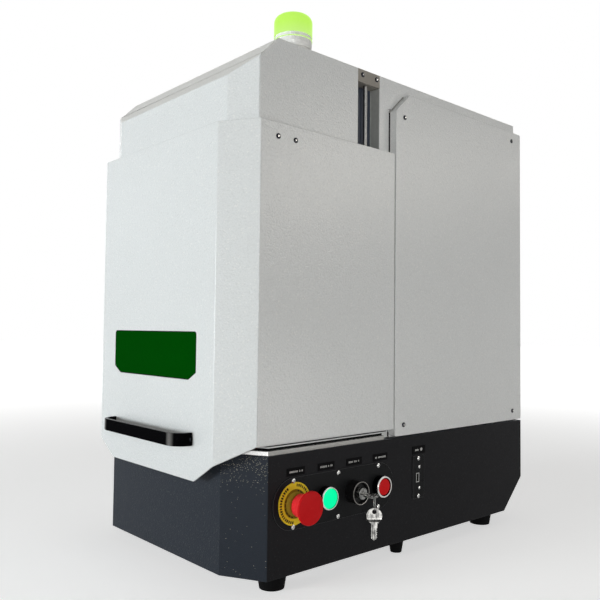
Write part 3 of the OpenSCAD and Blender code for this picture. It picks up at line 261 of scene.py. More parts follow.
def makePowderGroup():
    # textured powder coat: rounded grains like fine leather; a few grains are painted pale as painted glints,
    # and the hollows between grains get painted shade
    group, given, out = newGroup(
        "powderCoat",
        [("Color", "NodeSocketColor", (0.8, 0.8, 0.8, 1)), ("Bright Color", "NodeSocketColor", (1, 1, 1, 1)),
         ("Grain Scale", "NodeSocketFloat", 520.0), ("Sparkle", "NodeSocketFloat", 0.1),
         ("Roughness", "NodeSocketFloat", 0.36)],
        [("Color", "NodeSocketColor"), ("Roughness", "NodeSocketFloat"), ("Height", "NodeSocketFloat")],
    )
    w = Wiring(group)
    coord = w.place()
    scale = given.outputs["Grain Scale"]
    stir = w.make("ShaderNodeTexNoise", {"Vector": coord, "Scale": scale})
    stirred = w.make("ShaderNodeVectorMath", {0: stir.outputs["Color"], 1: (0.0011, 0.0011, 0.0011)},
                     operation="MULTIPLY")
    place = w.make("ShaderNodeVectorMath", {0: coord, 1: stirred.outputs[0]}, operation="ADD").outputs[0]
    grain = w.cells(place, scale, "SMOOTH_F1")
    fleck = w.cells(coord, w.math("MULTIPLY", scale, 1.3))
    fine = w.noise(coord, w.math("MULTIPLY", scale, 2.6), 2, 0.6)
    broad = w.noise(coord, 4.0, 3)
    pick = w.make("ShaderNodeSeparateColor", {0: fleck.outputs["Color"]})
    # grains picked to carry the painted glints
    paintedHighlight = w.math("GREATER_THAN", pick.outputs[0], w.math("SUBTRACT", 1.0, given.outputs["Sparkle"]))
    dome = w.math("SUBTRACT", 1.0, w.math("MULTIPLY", grain.outputs["Distance"], grain.outputs["Distance"]))
    # painted shade: the hollows between the grains are a few percent darker
    shade = w.math("ADD", w.span(fine, 0.3, 0.7, 0.985, 1.01), w.span(dome, 0.5, 1.0, -0.05, 0.015))
    tone = w.math("MULTIPLY", shade, w.span(broad, 0.3, 0.7, 0.985, 1.015))
    toned = w.blend(1.0, given.outputs["Color"], tone, "MULTIPLY")
    color = w.blend(w.math("MULTIPLY", paintedHighlight, 0.4), toned, given.outputs["Bright Color"])
    height = w.math("ADD", dome, w.math("MULTIPLY", fine, 0.22))
    w.put(out.inputs["Color"], color)
    dull = w.span(fine, 0.3, 0.7, -0.05, 0.06)
    w.put(out.inputs["Roughness"], w.math("ADD", given.outputs["Roughness"], dull))
    w.put(out.inputs["Height"], height)
    return group


def makeWearGroup():
    # faint dust and handling marks for plain surfaces
    group, given, out = newGroup(
        "handling",
        [("Color", "NodeSocketColor", (0.5, 0.5, 0.5, 1)), ("Scale", "NodeSocketFloat", 60.0),
         ("Amount", "NodeSocketFloat", 0.1), ("Roughness", "NodeSocketFloat", 0.4)],
        [("Color", "NodeSocketColor"), ("Roughness", "NodeSocketFloat"), ("Height", "NodeSocketFloat")],
    )
    w = Wiring(group)
    coord = w.place()
    wide = w.noise(coord, given.outputs["Scale"], 4, 0.6)
    fine = w.noise(coord, w.math("MULTIPLY", given.outputs["Scale"], 22.0), 2, 0.5)
    amount = given.outputs["Amount"]
    shift = w.math("MULTIPLY", w.math("SUBTRACT", wide, 0.5), amount)
    tone = w.math("ADD", 1.0, w.math("ADD", shift, w.math("MULTIPLY", w.math("SUBTRACT", fine, 0.5), amount)))
    w.put(out.inputs["Color"], w.blend(1.0, given.outputs["Color"], tone, "MULTIPLY"))
    w.put(out.inputs["Roughness"], w.math("ADD", given.outputs["Roughness"], w.math("MULTIPLY", shift, 1.6)))
    w.put(out.inputs["Height"], w.math("ADD", fine, w.math("MULTIPLY", wide, 0.5)))
    return group


def makeBrushGroup():
    # straight machining or brushing marks along one axis
    group, given, out = newGroup(
        "brushed",
        [("Color", "NodeSocketColor", (0.6, 0.6, 0.6, 1)),
         ("Stretch", "NodeSocketVector", (20.0, 900.0, 900.0)),
         ("Amount", "NodeSocketFloat", 0.15), ("Roughness", "NodeSocketFloat", 0.3)],
        [("Color", "NodeSocketColor"), ("Roughness", "NodeSocketFloat"), ("Height", "NodeSocketFloat")],
    )
    w = Wiring(group)
    coord = w.place()
    place = w.make("ShaderNodeMapping", {"Vector": coord, "Scale": given.outputs["Stretch"]})
    lines = w.noise(place.outputs[0], 1.0, 3, 0.6)
    blot = w.noise(coord, 160.0, 3, 0.6)
    shift = w.math("MULTIPLY", w.math("SUBTRACT", lines, 0.5), given.outputs["Amount"])
    dull = w.math("MULTIPLY", w.math("SUBTRACT", blot, 0.5), given.outputs["Amount"])
    tone = w.math("ADD", 1.0, w.math("ADD", shift, dull))
    w.put(out.inputs["Color"], w.blend(1.0, given.outputs["Color"], tone, "MULTIPLY"))
    w.put(out.inputs["Roughness"], w.math("ADD", given.outputs["Roughness"], w.math("ADD", shift, dull)))
    w.put(out.inputs["Height"], lines)
    return group


powderGroup = makePowderGroup()
wearGroup = makeWearGroup()
brushGroup = makeBrushGroup()


materials = {}
lowIor = 1.12            # for black and deep colours under a white sky


def grouped(name, group, values, depth=None, **shader):
    # a material whose colour, roughness and relief come from one of the groups
    mat = bpy.data.materials.new(name)
    mat.use_nodes = True
    materials[name] = mat
    w, bsdf = Wiring(mat.node_tree), mat.node_tree.nodes["Principled BSDF"]
    g = w.add("ShaderNodeGroup", node_tree=group)
    for k, v in values.items():
        g.inputs[k].default_value = v
    w.put(bsdf.inputs["Base Color"], g.outputs["Color"])
    w.put(bsdf.inputs["Roughness"], g.outputs["Roughness"])
    if depth:
        w.put(bsdf.inputs["Normal"], w.bump(g.outputs["Height"], depth))
    for k, v in shader.items():
        bsdf.inputs[k.replace("_", " ")].default_value = v
    return w, g, bsdf


# the glint colour and sparkle share set the coat's painted glints
def powder(name, color, paintedHighlight, scale=520.0, sparkle=0.06, depth=0.00016, roughness=0.36, **shader):
    return grouped(name, powderGroup, {
        "Color": (*color, 1), "Bright Color": (*paintedHighlight, 1), "Grain Scale": scale, "Sparkle": sparkle,
        "Roughness": roughness,
    }, depth, **shader)


def plain(name, color, roughness=0.4, scale=60.0, amount=0.12, depth=0.00004, **shader):
    return grouped(name, wearGroup, {
        "Color": (*color, 1), "Scale": scale, "Amount": amount, "Roughness": roughness,
    }, depth, **shader)


def brushed(name, color, stretch, roughness=0.3, amount=0.15, depth=0.00001, **shader):
    return grouped(name, brushGroup, {
        "Color": (*color, 1), "Stretch": stretch, "Amount": amount, "Roughness": roughness,
    }, depth, **shader)


powder("whitePowder", (0.77, 0.785, 0.785), (0.95, 0.94, 0.91), 520.0, 0.04, 0.00036, 0.19)
# a darker, warmer copy of the white coat with more painted glints: painted shade for the hood's upward-facing
# brow
powder("whiteShadedBrow", (0.68, 0.672, 0.635), (0.85, 0.83, 0.78), 520.0, 0.08, 0.0004, 0.34)
brushed("deckMetal", (0.84, 0.835, 0.82), (900.0, 30.0, 900.0), 0.3, 0.3, 0.00002, Metallic=1.0)
powder("innerWhite", (0.7, 0.715, 0.72), (0.85, 0.85, 0.85), 620.0, 0.04, 0.0001)
powder("darkPowder", (0.0225, 0.028, 0.038), (0.075, 0.075, 0.075), 620.0, 0.05, 0.0003, 0.36, IOR=1.17)
# a slightly lighter copy of the dark coat for the base's cut corners: painted light
glintWiring, glintCoat, _ = powder("darkPowderFold", (0.0245, 0.0295, 0.039), (0.68, 0.62, 0.48), 1050.0,
                                   0.05, 0.0003, 0.36, IOR=1.17)
# painted glints: more pale flecks towards the top of the base's cut corners
glintHeights, glintShares = (0.128, 0.17), (0.002, 0.075)
glintWiring.put(glintCoat.inputs["Sparkle"], glintWiring.span(
    glintWiring.split(glintWiring.place())["Z"], *glintHeights, *glintShares))
# a duller, non-metal copy of the deck metal: painted shade for the deck's side strip
brushed("deckSide", (0.52, 0.515, 0.495), (900.0, 30.0, 900.0), 0.4, 0.35, 0.00002, IOR=1.3)
# a darker, less reflective copy of the dark coat: painted shade for the base's sides
powder("darkPowderSide", (0.0185, 0.0185, 0.0205), (0.04, 0.04, 0.04), 620.0, 0.03, 0.0002, 0.36, IOR=1.1)
# a lighter, glossier copy of the black coat: painted light on the handle's flat top and bottom faces, with
# real gloss
powder("blackGloss", (0.006, 0.006, 0.0065), (0.02, 0.02, 0.02), 900.0, 0.03, 0.00004, 0.3, IOR=1.35)
# near-black painted shade for faces inside narrow grooves
plain("grooveShade", (0.02, 0.02, 0.021), 0.8, 90.0, 0.2, IOR=lowIor)
plain("blackPanel", (0.013, 0.0135, 0.0145), 0.3, 90.0, 0.15, 0.00002, IOR=lowIor)
# a lighter black for the plates' eased edges: painted edge highlight
plain("panelEdge", (0.09, 0.092, 0.096), 0.35, 90.0, 0.15, 0.00002, IOR=lowIor)
plain("labelBlack", (0.005, 0.005, 0.0055), 0.45, 120.0, 0.15, 0.00002, IOR=1.08)
plain("labelInk", (0.5, 0.5, 0.49), 0.5, 300.0, 0.3, 0.00001, Specular_IOR_Level=0.3)
plain("ringInk", (0.03, 0.024, 0.012), 0.5, 300.0, 0.2, 0.00001, IOR=1.12)
plain("blackAnodised", (0.018, 0.018, 0.02), 0.42, 90.0, 0.2, IOR=1.25)
brushed("greyAnodised", (0.2, 0.205, 0.215), (900.0, 900.0, 15.0), 0.42, Metallic=0.6)
brushed("blockGrey", (0.36, 0.335, 0.3), (300.0, 30.0, 900.0), 0.5, 0.12, IOR=1.2)
brushed("clearAnodised", (0.5, 0.5, 0.51), (900.0, 900.0, 20.0), 0.38, Metallic=0.7)
brushed("groundSteel", (0.22, 0.218, 0.21), (60.0, 60.0, 2500.0), 0.3, 0.12, Metallic=1.0)
brushed("stainless", (0.46, 0.46, 0.45), (600.0, 600.0, 600.0), 0.22, 0.2, Metallic=1.0)
brushed("ringSilver", (0.62, 0.61, 0.59), (600.0, 600.0, 600.0), 0.2, 0.2, Metallic=1.0)
plain("blackSteel", (0.03, 0.03, 0.034), 0.28, 150.0, 0.25, Metallic=0.6, Specular_IOR_Level=0.3)
brushed("rimNickel", (0.2, 0.19, 0.18), (600.0, 600.0, 600.0), 0.3, 0.4, Metallic=1.0)
brushed("screwSteel", (0.022, 0.023, 0.028), (600.0, 600.0, 600.0), 0.3, 0.6, Metallic=1.0)
brushed("darkNickel", (0.2, 0.2, 0.195), (500.0, 260.0, 260.0), 0.3, 1.1, 0.00005, Metallic=1.0)
plain("footRubber", (0.006, 0.006, 0.0065), 0.75, 200.0, 0.3, 0.0001, IOR=1.12)
plain("sealRubber", (0.008, 0.008, 0.009), 0.85, 400.0, 0.3, 0.0002, IOR=1.12)
plain("blackPlastic", (0.009, 0.009, 0.0095), 0.35, 300.0, 0.2, 0.00004, IOR=1.2)
plain("whitePlastic", (0.93, 0.93, 0.92), 0.32, 80.0, 0.04)
plain("padPlastic", (0.8, 0.8, 0.78), 0.45, 80.0, 0.06)
plain("bodyYellow", (0.4, 0.27, 0.03), 0.45, 90.0, 0.12, IOR=lowIor)
plain("resetRed", (0.74, 0.013, 0.016), 0.25, 90.0, 0.1, IOR=lowIor)
plain("rockerRed", (0.45, 0.01, 0.01), 0.25, 90.0, 0.1, IOR=lowIor)
plain("mirrorCoat", (0.82, 0.7, 0.42), 0.06, 40.0, 0.04, 0.00001, Metallic=1.0)
plain("lensGlass", (0.05, 0.07, 0.13), 0.05, 40.0, 0.1, 0.00001, Coat_Weight=0.6)


def lit(name, color, glow, strength, roughness=0.3, edge=None, rise=None):
    # plastic lit from inside, with another colour at its edges or up its height
    w, g, bsdf = grouped(name, wearGroup, {
        "Color": (*color, 1), "Scale": 50.0, "Amount": 0.06, "Roughness": roughness,
    }, Emission_Strength=strength, IOR=lowIor)
    if rise:
        share = w.span(w.split(w.place())["Z"], *rise, 0, 1)
    else:
        share = w.make("ShaderNodeLayerWeight", {"Blend": 0.35}).outputs["Facing"]
    w.put(bsdf.inputs["Emission Color"], w.blend(share, (*glow, 1), (*(edge or glow), 1)))


lensLow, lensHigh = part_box("lamp_lens")
lensRise = (lensLow.z, lensLow.z + 0.6 * (lensHigh.z - lensLow.z))
lit("lampLens", (0.1, 0.16, 0.03), (0.6, 0.93, 0.27), 0.86, 0.3, (0.53, 0.95, 0.12), lensRise)
lit("ledBoard", (0.8, 0.8, 0.7), (0.8, 1.0, 0.5), 0.5)
lit("startGreen", (0.0, 0.2, 0.08), (0.0, 0.95, 0.42), 1.0, 0.25, (0.0, 0.66, 0.17))


def masked(name, group, values, depth, parts, **shader):
    # a material whose colour differs where a mask, made from object coordinates, is 1
    w, g, bsdf = grouped(name, group, values, depth, **shader)
    at = w.split(w.place())
    color = (*parts[0], 1)
    for test, shade in parts[1:]:
        color = w.blend(test(w, at), color, (*shade, 1))
    w.put(g.inputs["Color"], color)


def past(axis, place):
    return lambda w, at: w.math("GREATER_THAN", at[axis], place)


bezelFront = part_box("button_bezels")[1].x
ringDepths = {"body": 0.0042, "rim": 0.0008}         # of the colours' edges behind the front
# the bezel is chrome all over; its side is painted near-black and dark grey as painted reflection, and only
# its front rim is silver
masked("bezelRing", brushGroup, {
    "Stretch": (700.0, 700.0, 700.0), "Roughness": 0.22, "Amount": 0.2,
}, 0.00002, [
    (0.006, 0.006, 0.007),
    (past("X", bezelFront - ringDepths["body"]), (0.05, 0.053, 0.062)),
    (past("X", bezelFront - ringDepths["rim"]), (0.62, 0.61, 0.59)),
], Metallic=1.0)
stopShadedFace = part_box("stop_head")[1].x - 0.0035         # where the head's face begins
# painted shade: the head's flat face is a darker red than its lit side
masked("stopRed", wearGroup, {"Scale": 90.0, "Amount": 0.1, "Roughness": 0.38}, 0.00004, [
    (0.95, 0.036, 0.045), (past("X", stopShadedFace), (0.66, 0.013, 0.016)),
], IOR=lowIor)


def within(axis, place, full, none):
    # 1 near a place on an axis, on either side of the middle, fading to 0
    return lambda w, at: w.span(w.math("ABSOLUTE", w.math("SUBTRACT", w.math("ABSOLUTE", at[axis]), place)),
                                full, none, 1.0, 0.0)


def insideRing(middle, radius):
    # within a radius of a line along X
    def test(w, at):
        y, z = w.math("SUBTRACT", at["Y"], middle.y), w.math("SUBTRACT", at["Z"], middle.z)
        away = w.math("ADD", w.math("MULTIPLY", y, y), w.math("MULTIPLY", z, z))
        return w.math("LESS_THAN", away, radius * radius)
    return test


# painted highlight: the black bar is painted lighter on its bends
handlePaintedHighlight = {"place": 0.0895, "full": 0.001, "none": 0.0065}    # on the bends of the bar
masked("blackCoat", powderGroup, {
    "Bright Color": (0.02, 0.02, 0.02, 1), "Grain Scale": 900.0, "Sparkle": 0.02, "Roughness": 0.3,
}, 0.00004, [(0.0025, 0.0025, 0.003), (within("X", *handlePaintedHighlight.values()), (0.17, 0.165, 0.16))], IOR=1.02)
ringLow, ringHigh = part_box("stop_ring")
innerRing = 0.0184
masked("stopYellow", wearGroup, {"Scale": 90.0, "Amount": 0.12, "Roughness": 0.45}, 0.00004, [
    (0.85, 0.64, 0.035), (insideRing((ringLow + ringHigh) / 2, innerRing), (0.25, 0.165, 0.012)),
], IOR=lowIor)


def withinKey(middle, facing, half):
    # the engraved parts of a key lie nearer its middle plane than its faces do
    def test(w, at):
        place = w.vector(at["X"], at["Y"], at["Z"])
        away = w.make("ShaderNodeVectorMath", {0: place, 1: middle}, operation="SUBTRACT").outputs[0]
        depth = w.make("ShaderNodeVectorMath", {0: away, 1: facing}, operation="DOT_PRODUCT").outputs["Value"]
        return w.math("LESS_THAN", w.math("ABSOLUTE", depth), half)
    return test


def makeKeyMaterial(name, node, facing, paintedHighlight=None):
    middle = (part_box(node)[0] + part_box(node)[1]) / 2
    # the keys' strong tone streaks (Amount 2.0) are painted reflection; the optional pale band is a painted
    # highlight; the engraved parts are painted near-black
    parts = [(0.5, 0.495, 0.48)]
    if paintedHighlight:
        low, high = paintedHighlight
        parts.append((lambda w, at: w.math(
            "MULTIPLY", past("Z", low)(w, at), w.math("LESS_THAN", at["Z"], high)), (0.8, 0.79, 0.76)))
    parts.append((withinKey(tuple(middle), facing, engravedHalf), (0.07, 0.07, 0.068)))
    masked(name, brushGroup, {
        "Stretch": (260.0, 260.0, 90.0), "Roughness": 0.28, "Amount": 2.0}, 0.00006, parts, Metallic=1.0)


keyTurn = math.radians(-41.75)
engravedHalf = 0.0007
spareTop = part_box("spare_key")[1].z
# painted highlight band across the spare key's bow
makeKeyMaterial("spareNickel", "spare_key", (math.cos(keyTurn), math.sin(keyTurn), 0),
                (spareTop - 0.0148, spareTop - 0.0132))
makeKeyMaterial("keyNickel", "key", (0, 0, 1))
# deep green filter sheet with a hard clear face
grouped("windowGreen", wearGroup, {
    "Color": (0.0001, 0.06, 0.0014, 1), "Scale": 9.0, "Amount": 0.2, "Roughness": 0.12}, IOR=1.015)
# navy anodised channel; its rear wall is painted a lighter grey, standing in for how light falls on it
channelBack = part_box("guide_channels")[1].y - 0.003
masked("channelNavy", brushGroup, {
    "Stretch": (900.0, 900.0, 15.0), "Amount": 0.3, "Roughness": 0.45,
}, 0.00002, [(0.05, 0.06, 0.085), (past("Y", channelBack), (0.42, 0.435, 0.42))], IOR=1.3)

nodeMaterials = {
    "darkPowder": ["base_shell", "base_floor"],
    "deckMetal": ["deck_plate"],
    "whitePowder": ["sill_plate", "hood_shell", "left_side_cover", "right_side_cover",
                    "rear_panel", "door_shell"],
    "innerWhite": ["partition_wall"],
    "footRubber": ["corner_feet", "middle_feet"],
    "sealRubber": ["sill_seals", "window_gasket"],
    "channelNavy": ["guide_channels"],
    "greyAnodised": ["work_table", "door_carriages", "laser_source"],
    "blockGrey": ["rod_end_blocks"],
    "groundSteel": ["guide_rods", "fan_guard"],
    "clearAnodised": ["head_column", "beam_isolator", "power_supply"],
    "blackSteel": ["cover_screws", "door_screws", "head_motor"],
    "blackPlastic": ["fan_housing", "fan_rotor", "mains_inlet", "key_switch"],
    "rockerRed": ["mains_rocker"],
    "whitePlastic": ["lamp_foot"],
    "lampLens": ["lamp_lens"],
    "ledBoard": ["lamp_led"],
    "blackPanel": ["control_plate", "usb_plate"],
    "blackCoat": ["door_handle"],
    "blackAnodised": ["head_carriage", "galvo_head", "scan_lens"],
    "bezelRing": ["button_bezels"],
    "stainless": ["panel_screws", "usb_socket", "rod_bushes", "lead_screw"],
    "stopYellow": ["stop_ring"],
    "bodyYellow": ["stop_body"],
    "stopRed": ["stop_stem", "stop_head"],
    "startGreen": ["start_cap"],
    "resetRed": ["reset_cap"],
    "darkNickel": ["key_barrel", "key_ring"],
    "keyNickel": ["key"],
    "spareNickel": ["spare_key"],
    "windowGreen": ["window_pane"],
    "padPlastic": ["door_pads"],
    "mirrorCoat": ["x_mirror", "y_mirror"],
}
for materialName, members in nodeMaterials.items():
    for member in members:
        for slotOfNode in nodes[member].material_slots:
            slotOfNode.material = materials[materialName]
print("materials done")


record = frame["record"]
bodyOf = {n: b for b, members in record["behaviour"]["bodies"].items() for n in members}


def extent(node):
    # lowest and highest corner of a node's box, and its middle
    lowest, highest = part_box(node)
    return lowest, highest, (lowest + highest) / 2


def link(name, mesh, *finishes):
    mesh.materials.clear()
    for finish in finishes:
        mesh.materials.append(materials[finish])
    piece = bpy.data.objects.new(name, mesh)
    scene.collection.objects.link(piece)
    return piece


def seat(piece, node, stands=True):
    # moves with the node's body, and stands for the node if it replaces it
    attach(piece, bodyOf[node])
    if stands:
        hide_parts(node)
    return piece


def wholeMesh(node):
    # a joined copy of a node's loose triangles, with flat faces made whole
    bm = bmesh.new()
    bm.from_mesh(nodes[node].data)
    bmesh.ops.remove_doubles(bm, verts=bm.verts, dist=mergeWithin)
    bmesh.ops.dissolve_limit(bm, angle_limit=math.radians(0.3), verts=bm.verts, edges=bm.edges)
    return bm


def settled(piece):
    # the piece with its modifiers turned into plain mesh
    graph = bpy.context.evaluated_depsgraph_get()
    graph.update()
    mesh = bpy.data.meshes.new_from_object(piece.evaluated_get(graph), depsgraph=graph)
    piece.modifiers.clear()
    piece.data = mesh
    return piece


foldTurn = 70            # degrees between two faces from which their edge is cut, not folded
mergeWithin = 0.000002


def softened(node, finish, width, edgeFinish=None, fold=None, leastTurn=24, segments=2):
    # the node with its cut edges eased and its folds rounder, as coated sheet has them
    bm = wholeMesh(node)
    for face in bm.faces:
        face.smooth = True
        face.material_index = 0
    weights = bm.edges.layers.float.new("bevel_weight_edge")
    for edge in bm.edges:
        if len(edge.link_faces) != 2:
            continue
        turn = math.degrees(edge.calc_face_angle(0))
        edge.smooth = turn < leastTurn
        if turn > leastTurn:
            edge[weights] = width / (fold or width) if turn > foldTurn else 1.0
    mesh = bpy.data.meshes.new(node + "Eased")
    bm.to_mesh(mesh)
    bm.free()
    piece = link(node + "Eased", mesh, *([finish, edgeFinish] if edgeFinish else [finish]))
    bevel = piece.modifiers.new("ease", "BEVEL")
    bevel.limit_method = "WEIGHT"
    bevel.width = fold or width
    bevel.segments = segments
    bevel.use_clamp_overlap = False
    bevel.loop_slide = False
    bevel.harden_normals = False
    if edgeFinish:
        bevel.material = 1
    weighted = piece.modifiers.new("shade", "WEIGHTED_NORMAL")
    weighted.keep_sharp = True
    return seat(settled(piece), node)


def loosePieces(node):
    # lowest and highest corners of each separate piece of a node
    bm = bmesh.new()
    bm.from_mesh(nodes[node].data)
    bmesh.ops.remove_doubles(bm, verts=bm.verts, dist=mergeWithin)
    bm.verts.ensure_lookup_table()
    left = set(bm.verts)
    found = []
    while left:
        todo = [left.pop()]
        group = []
        while todo:
            v = todo.pop()
            group.append(v.co.copy())
            for edge in v.link_edges:
                other = edge.other_vert(v)
                if other in left:
                    left.discard(other)
                    todo.append(other)
        corners = [[pick(co[i] for co in group) for i in range(3)] for pick in (min, max)]
        found.append((Vector(corners[0]), Vector(corners[1])))
    bm.free()
    return sorted(found, key=lambda c: tuple(round(x, 5) for x in c[0]))


def newTree(name, inputs):
    # a geometry tree with named inputs after its geometry
    tree = bpy.data.node_groups.new(name, "GeometryNodeTree")
    tree.interface.new_socket("Geometry", in_out="OUTPUT", socket_type="NodeSocketGeometry")
    tree.interface.new_socket("Geometry", in_out="INPUT", socket_type="NodeSocketGeometry")
    for label, kind, value in inputs:
        s = tree.interface.new_socket(label, in_out="INPUT", socket_type="NodeSocket" + kind)
        if value is not None:
            s.default_value = value
    return tree, Wiring(tree), tree.nodes.new("NodeGroupInput").outputs, tree.nodes.new("NodeGroupOutput")


def finishTree(w, out, geometry, material, sharpFrom=0.6):
    # real geometry, its material, and smooth shading between sharp edges
    real = w.real(geometry)
    soft = w.make("GeometryNodeSetShadeSmooth", {0: real, 2: True}, domain="FACE").outputs[0]
    turn = w.add("GeometryNodeInputMeshEdgeAngle").outputs[0]
    sharp = w.math("GREATER_THAN", turn, sharpFrom)
    edged = w.make("GeometryNodeSetShadeSmooth", {0: soft, 1: sharp, 2: False}, domain="EDGE").outputs[0]
    w.put(out.inputs[0], w.make("GeometryNodeSetMaterial", {0: edged, 2: material}).outputs[0])


def grown(name, tree, points, values, vectors=None):
    # runs a tree on a few points and keeps the result as plain mesh
    mesh = bpy.data.meshes.new(name)
    mesh.from_pydata([tuple(p) for p in points], [], [])
    for label, rows in (vectors or {}).items():
        layer = mesh.attributes.new(label, "FLOAT_VECTOR", "POINT")
        layer.data.foreach_set("vector", [x for row in rows for x in row])
    piece = bpy.data.objects.new(name, mesh)
    scene.collection.objects.link(piece)
    mod = piece.modifiers.new("make", "NODES")
    mod.node_group = tree
    known = {s.name: s.identifier for s in tree.interface.items_tree if s.in_out == "INPUT"}
    for label, value in values.items():
        mod[known[label]] = value
    return settled(piece)


def joined(name, pieces, *finishes):
    # several plain meshes as one, each keeping its own finish
    bm = bmesh.new()
    order = list(finishes)
    for piece in pieces:
        start = len(bm.faces)
        bm.from_mesh(piece.data)
        bm.faces.ensure_lookup_table()
        own = piece.data.materials[0].name if piece.data.materials and piece.data.materials[0] else order[0]
        for face in bm.faces[start:]:
            face.material_index = order.index(own) if own in order else 0
    mesh = bpy.data.meshes.new(name)
    bm.to_mesh(mesh)
    bm.free()
    for piece in pieces:
        bpy.data.objects.remove(piece)
    return link(name, mesh, *order)


def turned(name, finish, profile, centre, axis="X", steps=64, closed=True):
    # a solid of revolution round a line through the centre, from (radius, along) points
    bm = bmesh.new()
    rings = []
    for radius, along in profile:
        if radius < 1e-7:
            rings.append([bm.verts.new((along, 0, 0))])
            continue
        rings.append([bm.verts.new((along, radius * math.cos(2 * math.pi * k / steps),
                                    radius * math.sin(2 * math.pi * k / steps))) for k in range(steps)])
    loops = list(zip(rings, rings[1:])) + ([(rings[-1], rings[0])] if closed else [])
    for a, b in loops:
        for k in range(steps):
            n = (k + 1) % steps
            corners = [a[k % len(a)], a[n % len(a)], b[n % len(b)], b[k % len(b)]]
            corners = list(dict.fromkeys(corners))
            if len(corners) > 2:
                bm.faces.new(corners)
    bmesh.ops.recalc_face_normals(bm, faces=bm.faces)
    turn = {"X": Matrix.Identity(4), "Z": Matrix.Rotation(-math.pi / 2, 4, "Y"),
            "Y": Matrix.Rotation(math.pi / 2, 4, "Z")}[axis]
    bmesh.ops.transform(bm, matrix=Matrix.Translation(centre) @ turn, verts=bm.verts)
    for face in bm.faces:
        face.smooth = True
    for edge in bm.edges:
        edge.smooth = len(edge.link_faces) == 2 and edge.calc_face_angle(0) < 0.6
    mesh = bpy.data.meshes.new(name)
    bm.to_mesh(mesh)
    bm.free()
    return link(name, mesh, finish)


easedParts = {
    # node: finish, width of the eased edge
    "door_shell": ("whitePowder", 0.0005, None, 0.0014),
    "left_side_cover": ("whitePowder", 0.0005),
    "right_side_cover": ("whitePowder", 0.0005),
    "rear_panel": ("whitePowder", 0.0003),
    "sill_plate": ("whitePowder", 0.0003),
    "rod_end_blocks": ("blockGrey", 0.0003),
    "work_table": ("greyAnodised", 0.0004),
    "head_carriage": ("blackAnodised", 0.0005),
    "head_column": ("clearAnodised", 0.0005),
    "galvo_head": ("blackAnodised", 0.0006),
    "laser_source": ("greyAnodised", 0.0006),
}
for node, values in easedParts.items():
    softened(node, *values)


def refinish(piece, finish, chosen):
    # gives some faces of a piece another finish
    piece.data.materials.append(materials[finish])
    for face in piece.data.polygons:
        if chosen(face):
            face.material_index = len(piece.data.materials) - 1


labelFrom = 0.1452
for node in ("control_plate", "usb_plate"):
    # painted edge highlight on the plates' eased edges
    refinish(softened(node, "blackPanel", 0.0003, "panelEdge"), "labelBlack",
             lambda f: f.center.z > labelFrom)
# the handle's upward and downward faces get the lighter, glossier copy: painted light
refinish(softened("door_handle", "blackCoat", 0.0009), "blackGloss", lambda f: abs(f.normal.z) > 0.4)


groove = {"floor": 0.1845, "from": 0.1832, "to": 0.187, "front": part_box("right_side_cover")[0].y - 0.0016}


def inGroove(face):
    # the narrow gap that runs beside each side cover
    c = face.center
    deep = abs(c.x) < groove["floor"] or abs(face.normal.x) < 0.3
    return deep and groove["from"] < abs(c.x) < groove["to"] and c.y > groove["front"]


def facesSide(face):
    return abs(face.normal.x) > 0.9


hood = softened("hood_shell", "whitePowder", 0.0004, None, 0.0014)
# painted shade inside the groove beside each side cover
refinish(hood, "grooveShade", inGroove)
# painted shade on the hood's faces that look upwards
refinish(hood, "whiteShadedBrow", lambda f: f.normal.z > 0.25)
shell = softened("base_shell", "darkPowder", 0.0004)
# painted shade on the base's side faces
refinish(shell, "darkPowderSide", facesSide)
# painted light and painted glints on the base's cut corners
refinish(shell, "darkPowderFold", lambda f: 0.3 < abs(f.normal.x) < 0.9 and abs(f.normal.z) < 0.3)
# painted shade on the deck's side faces
refinish(softened("deck_plate", "deckMetal", 0.0005), "deckSide", facesSide)
print("eased parts done")


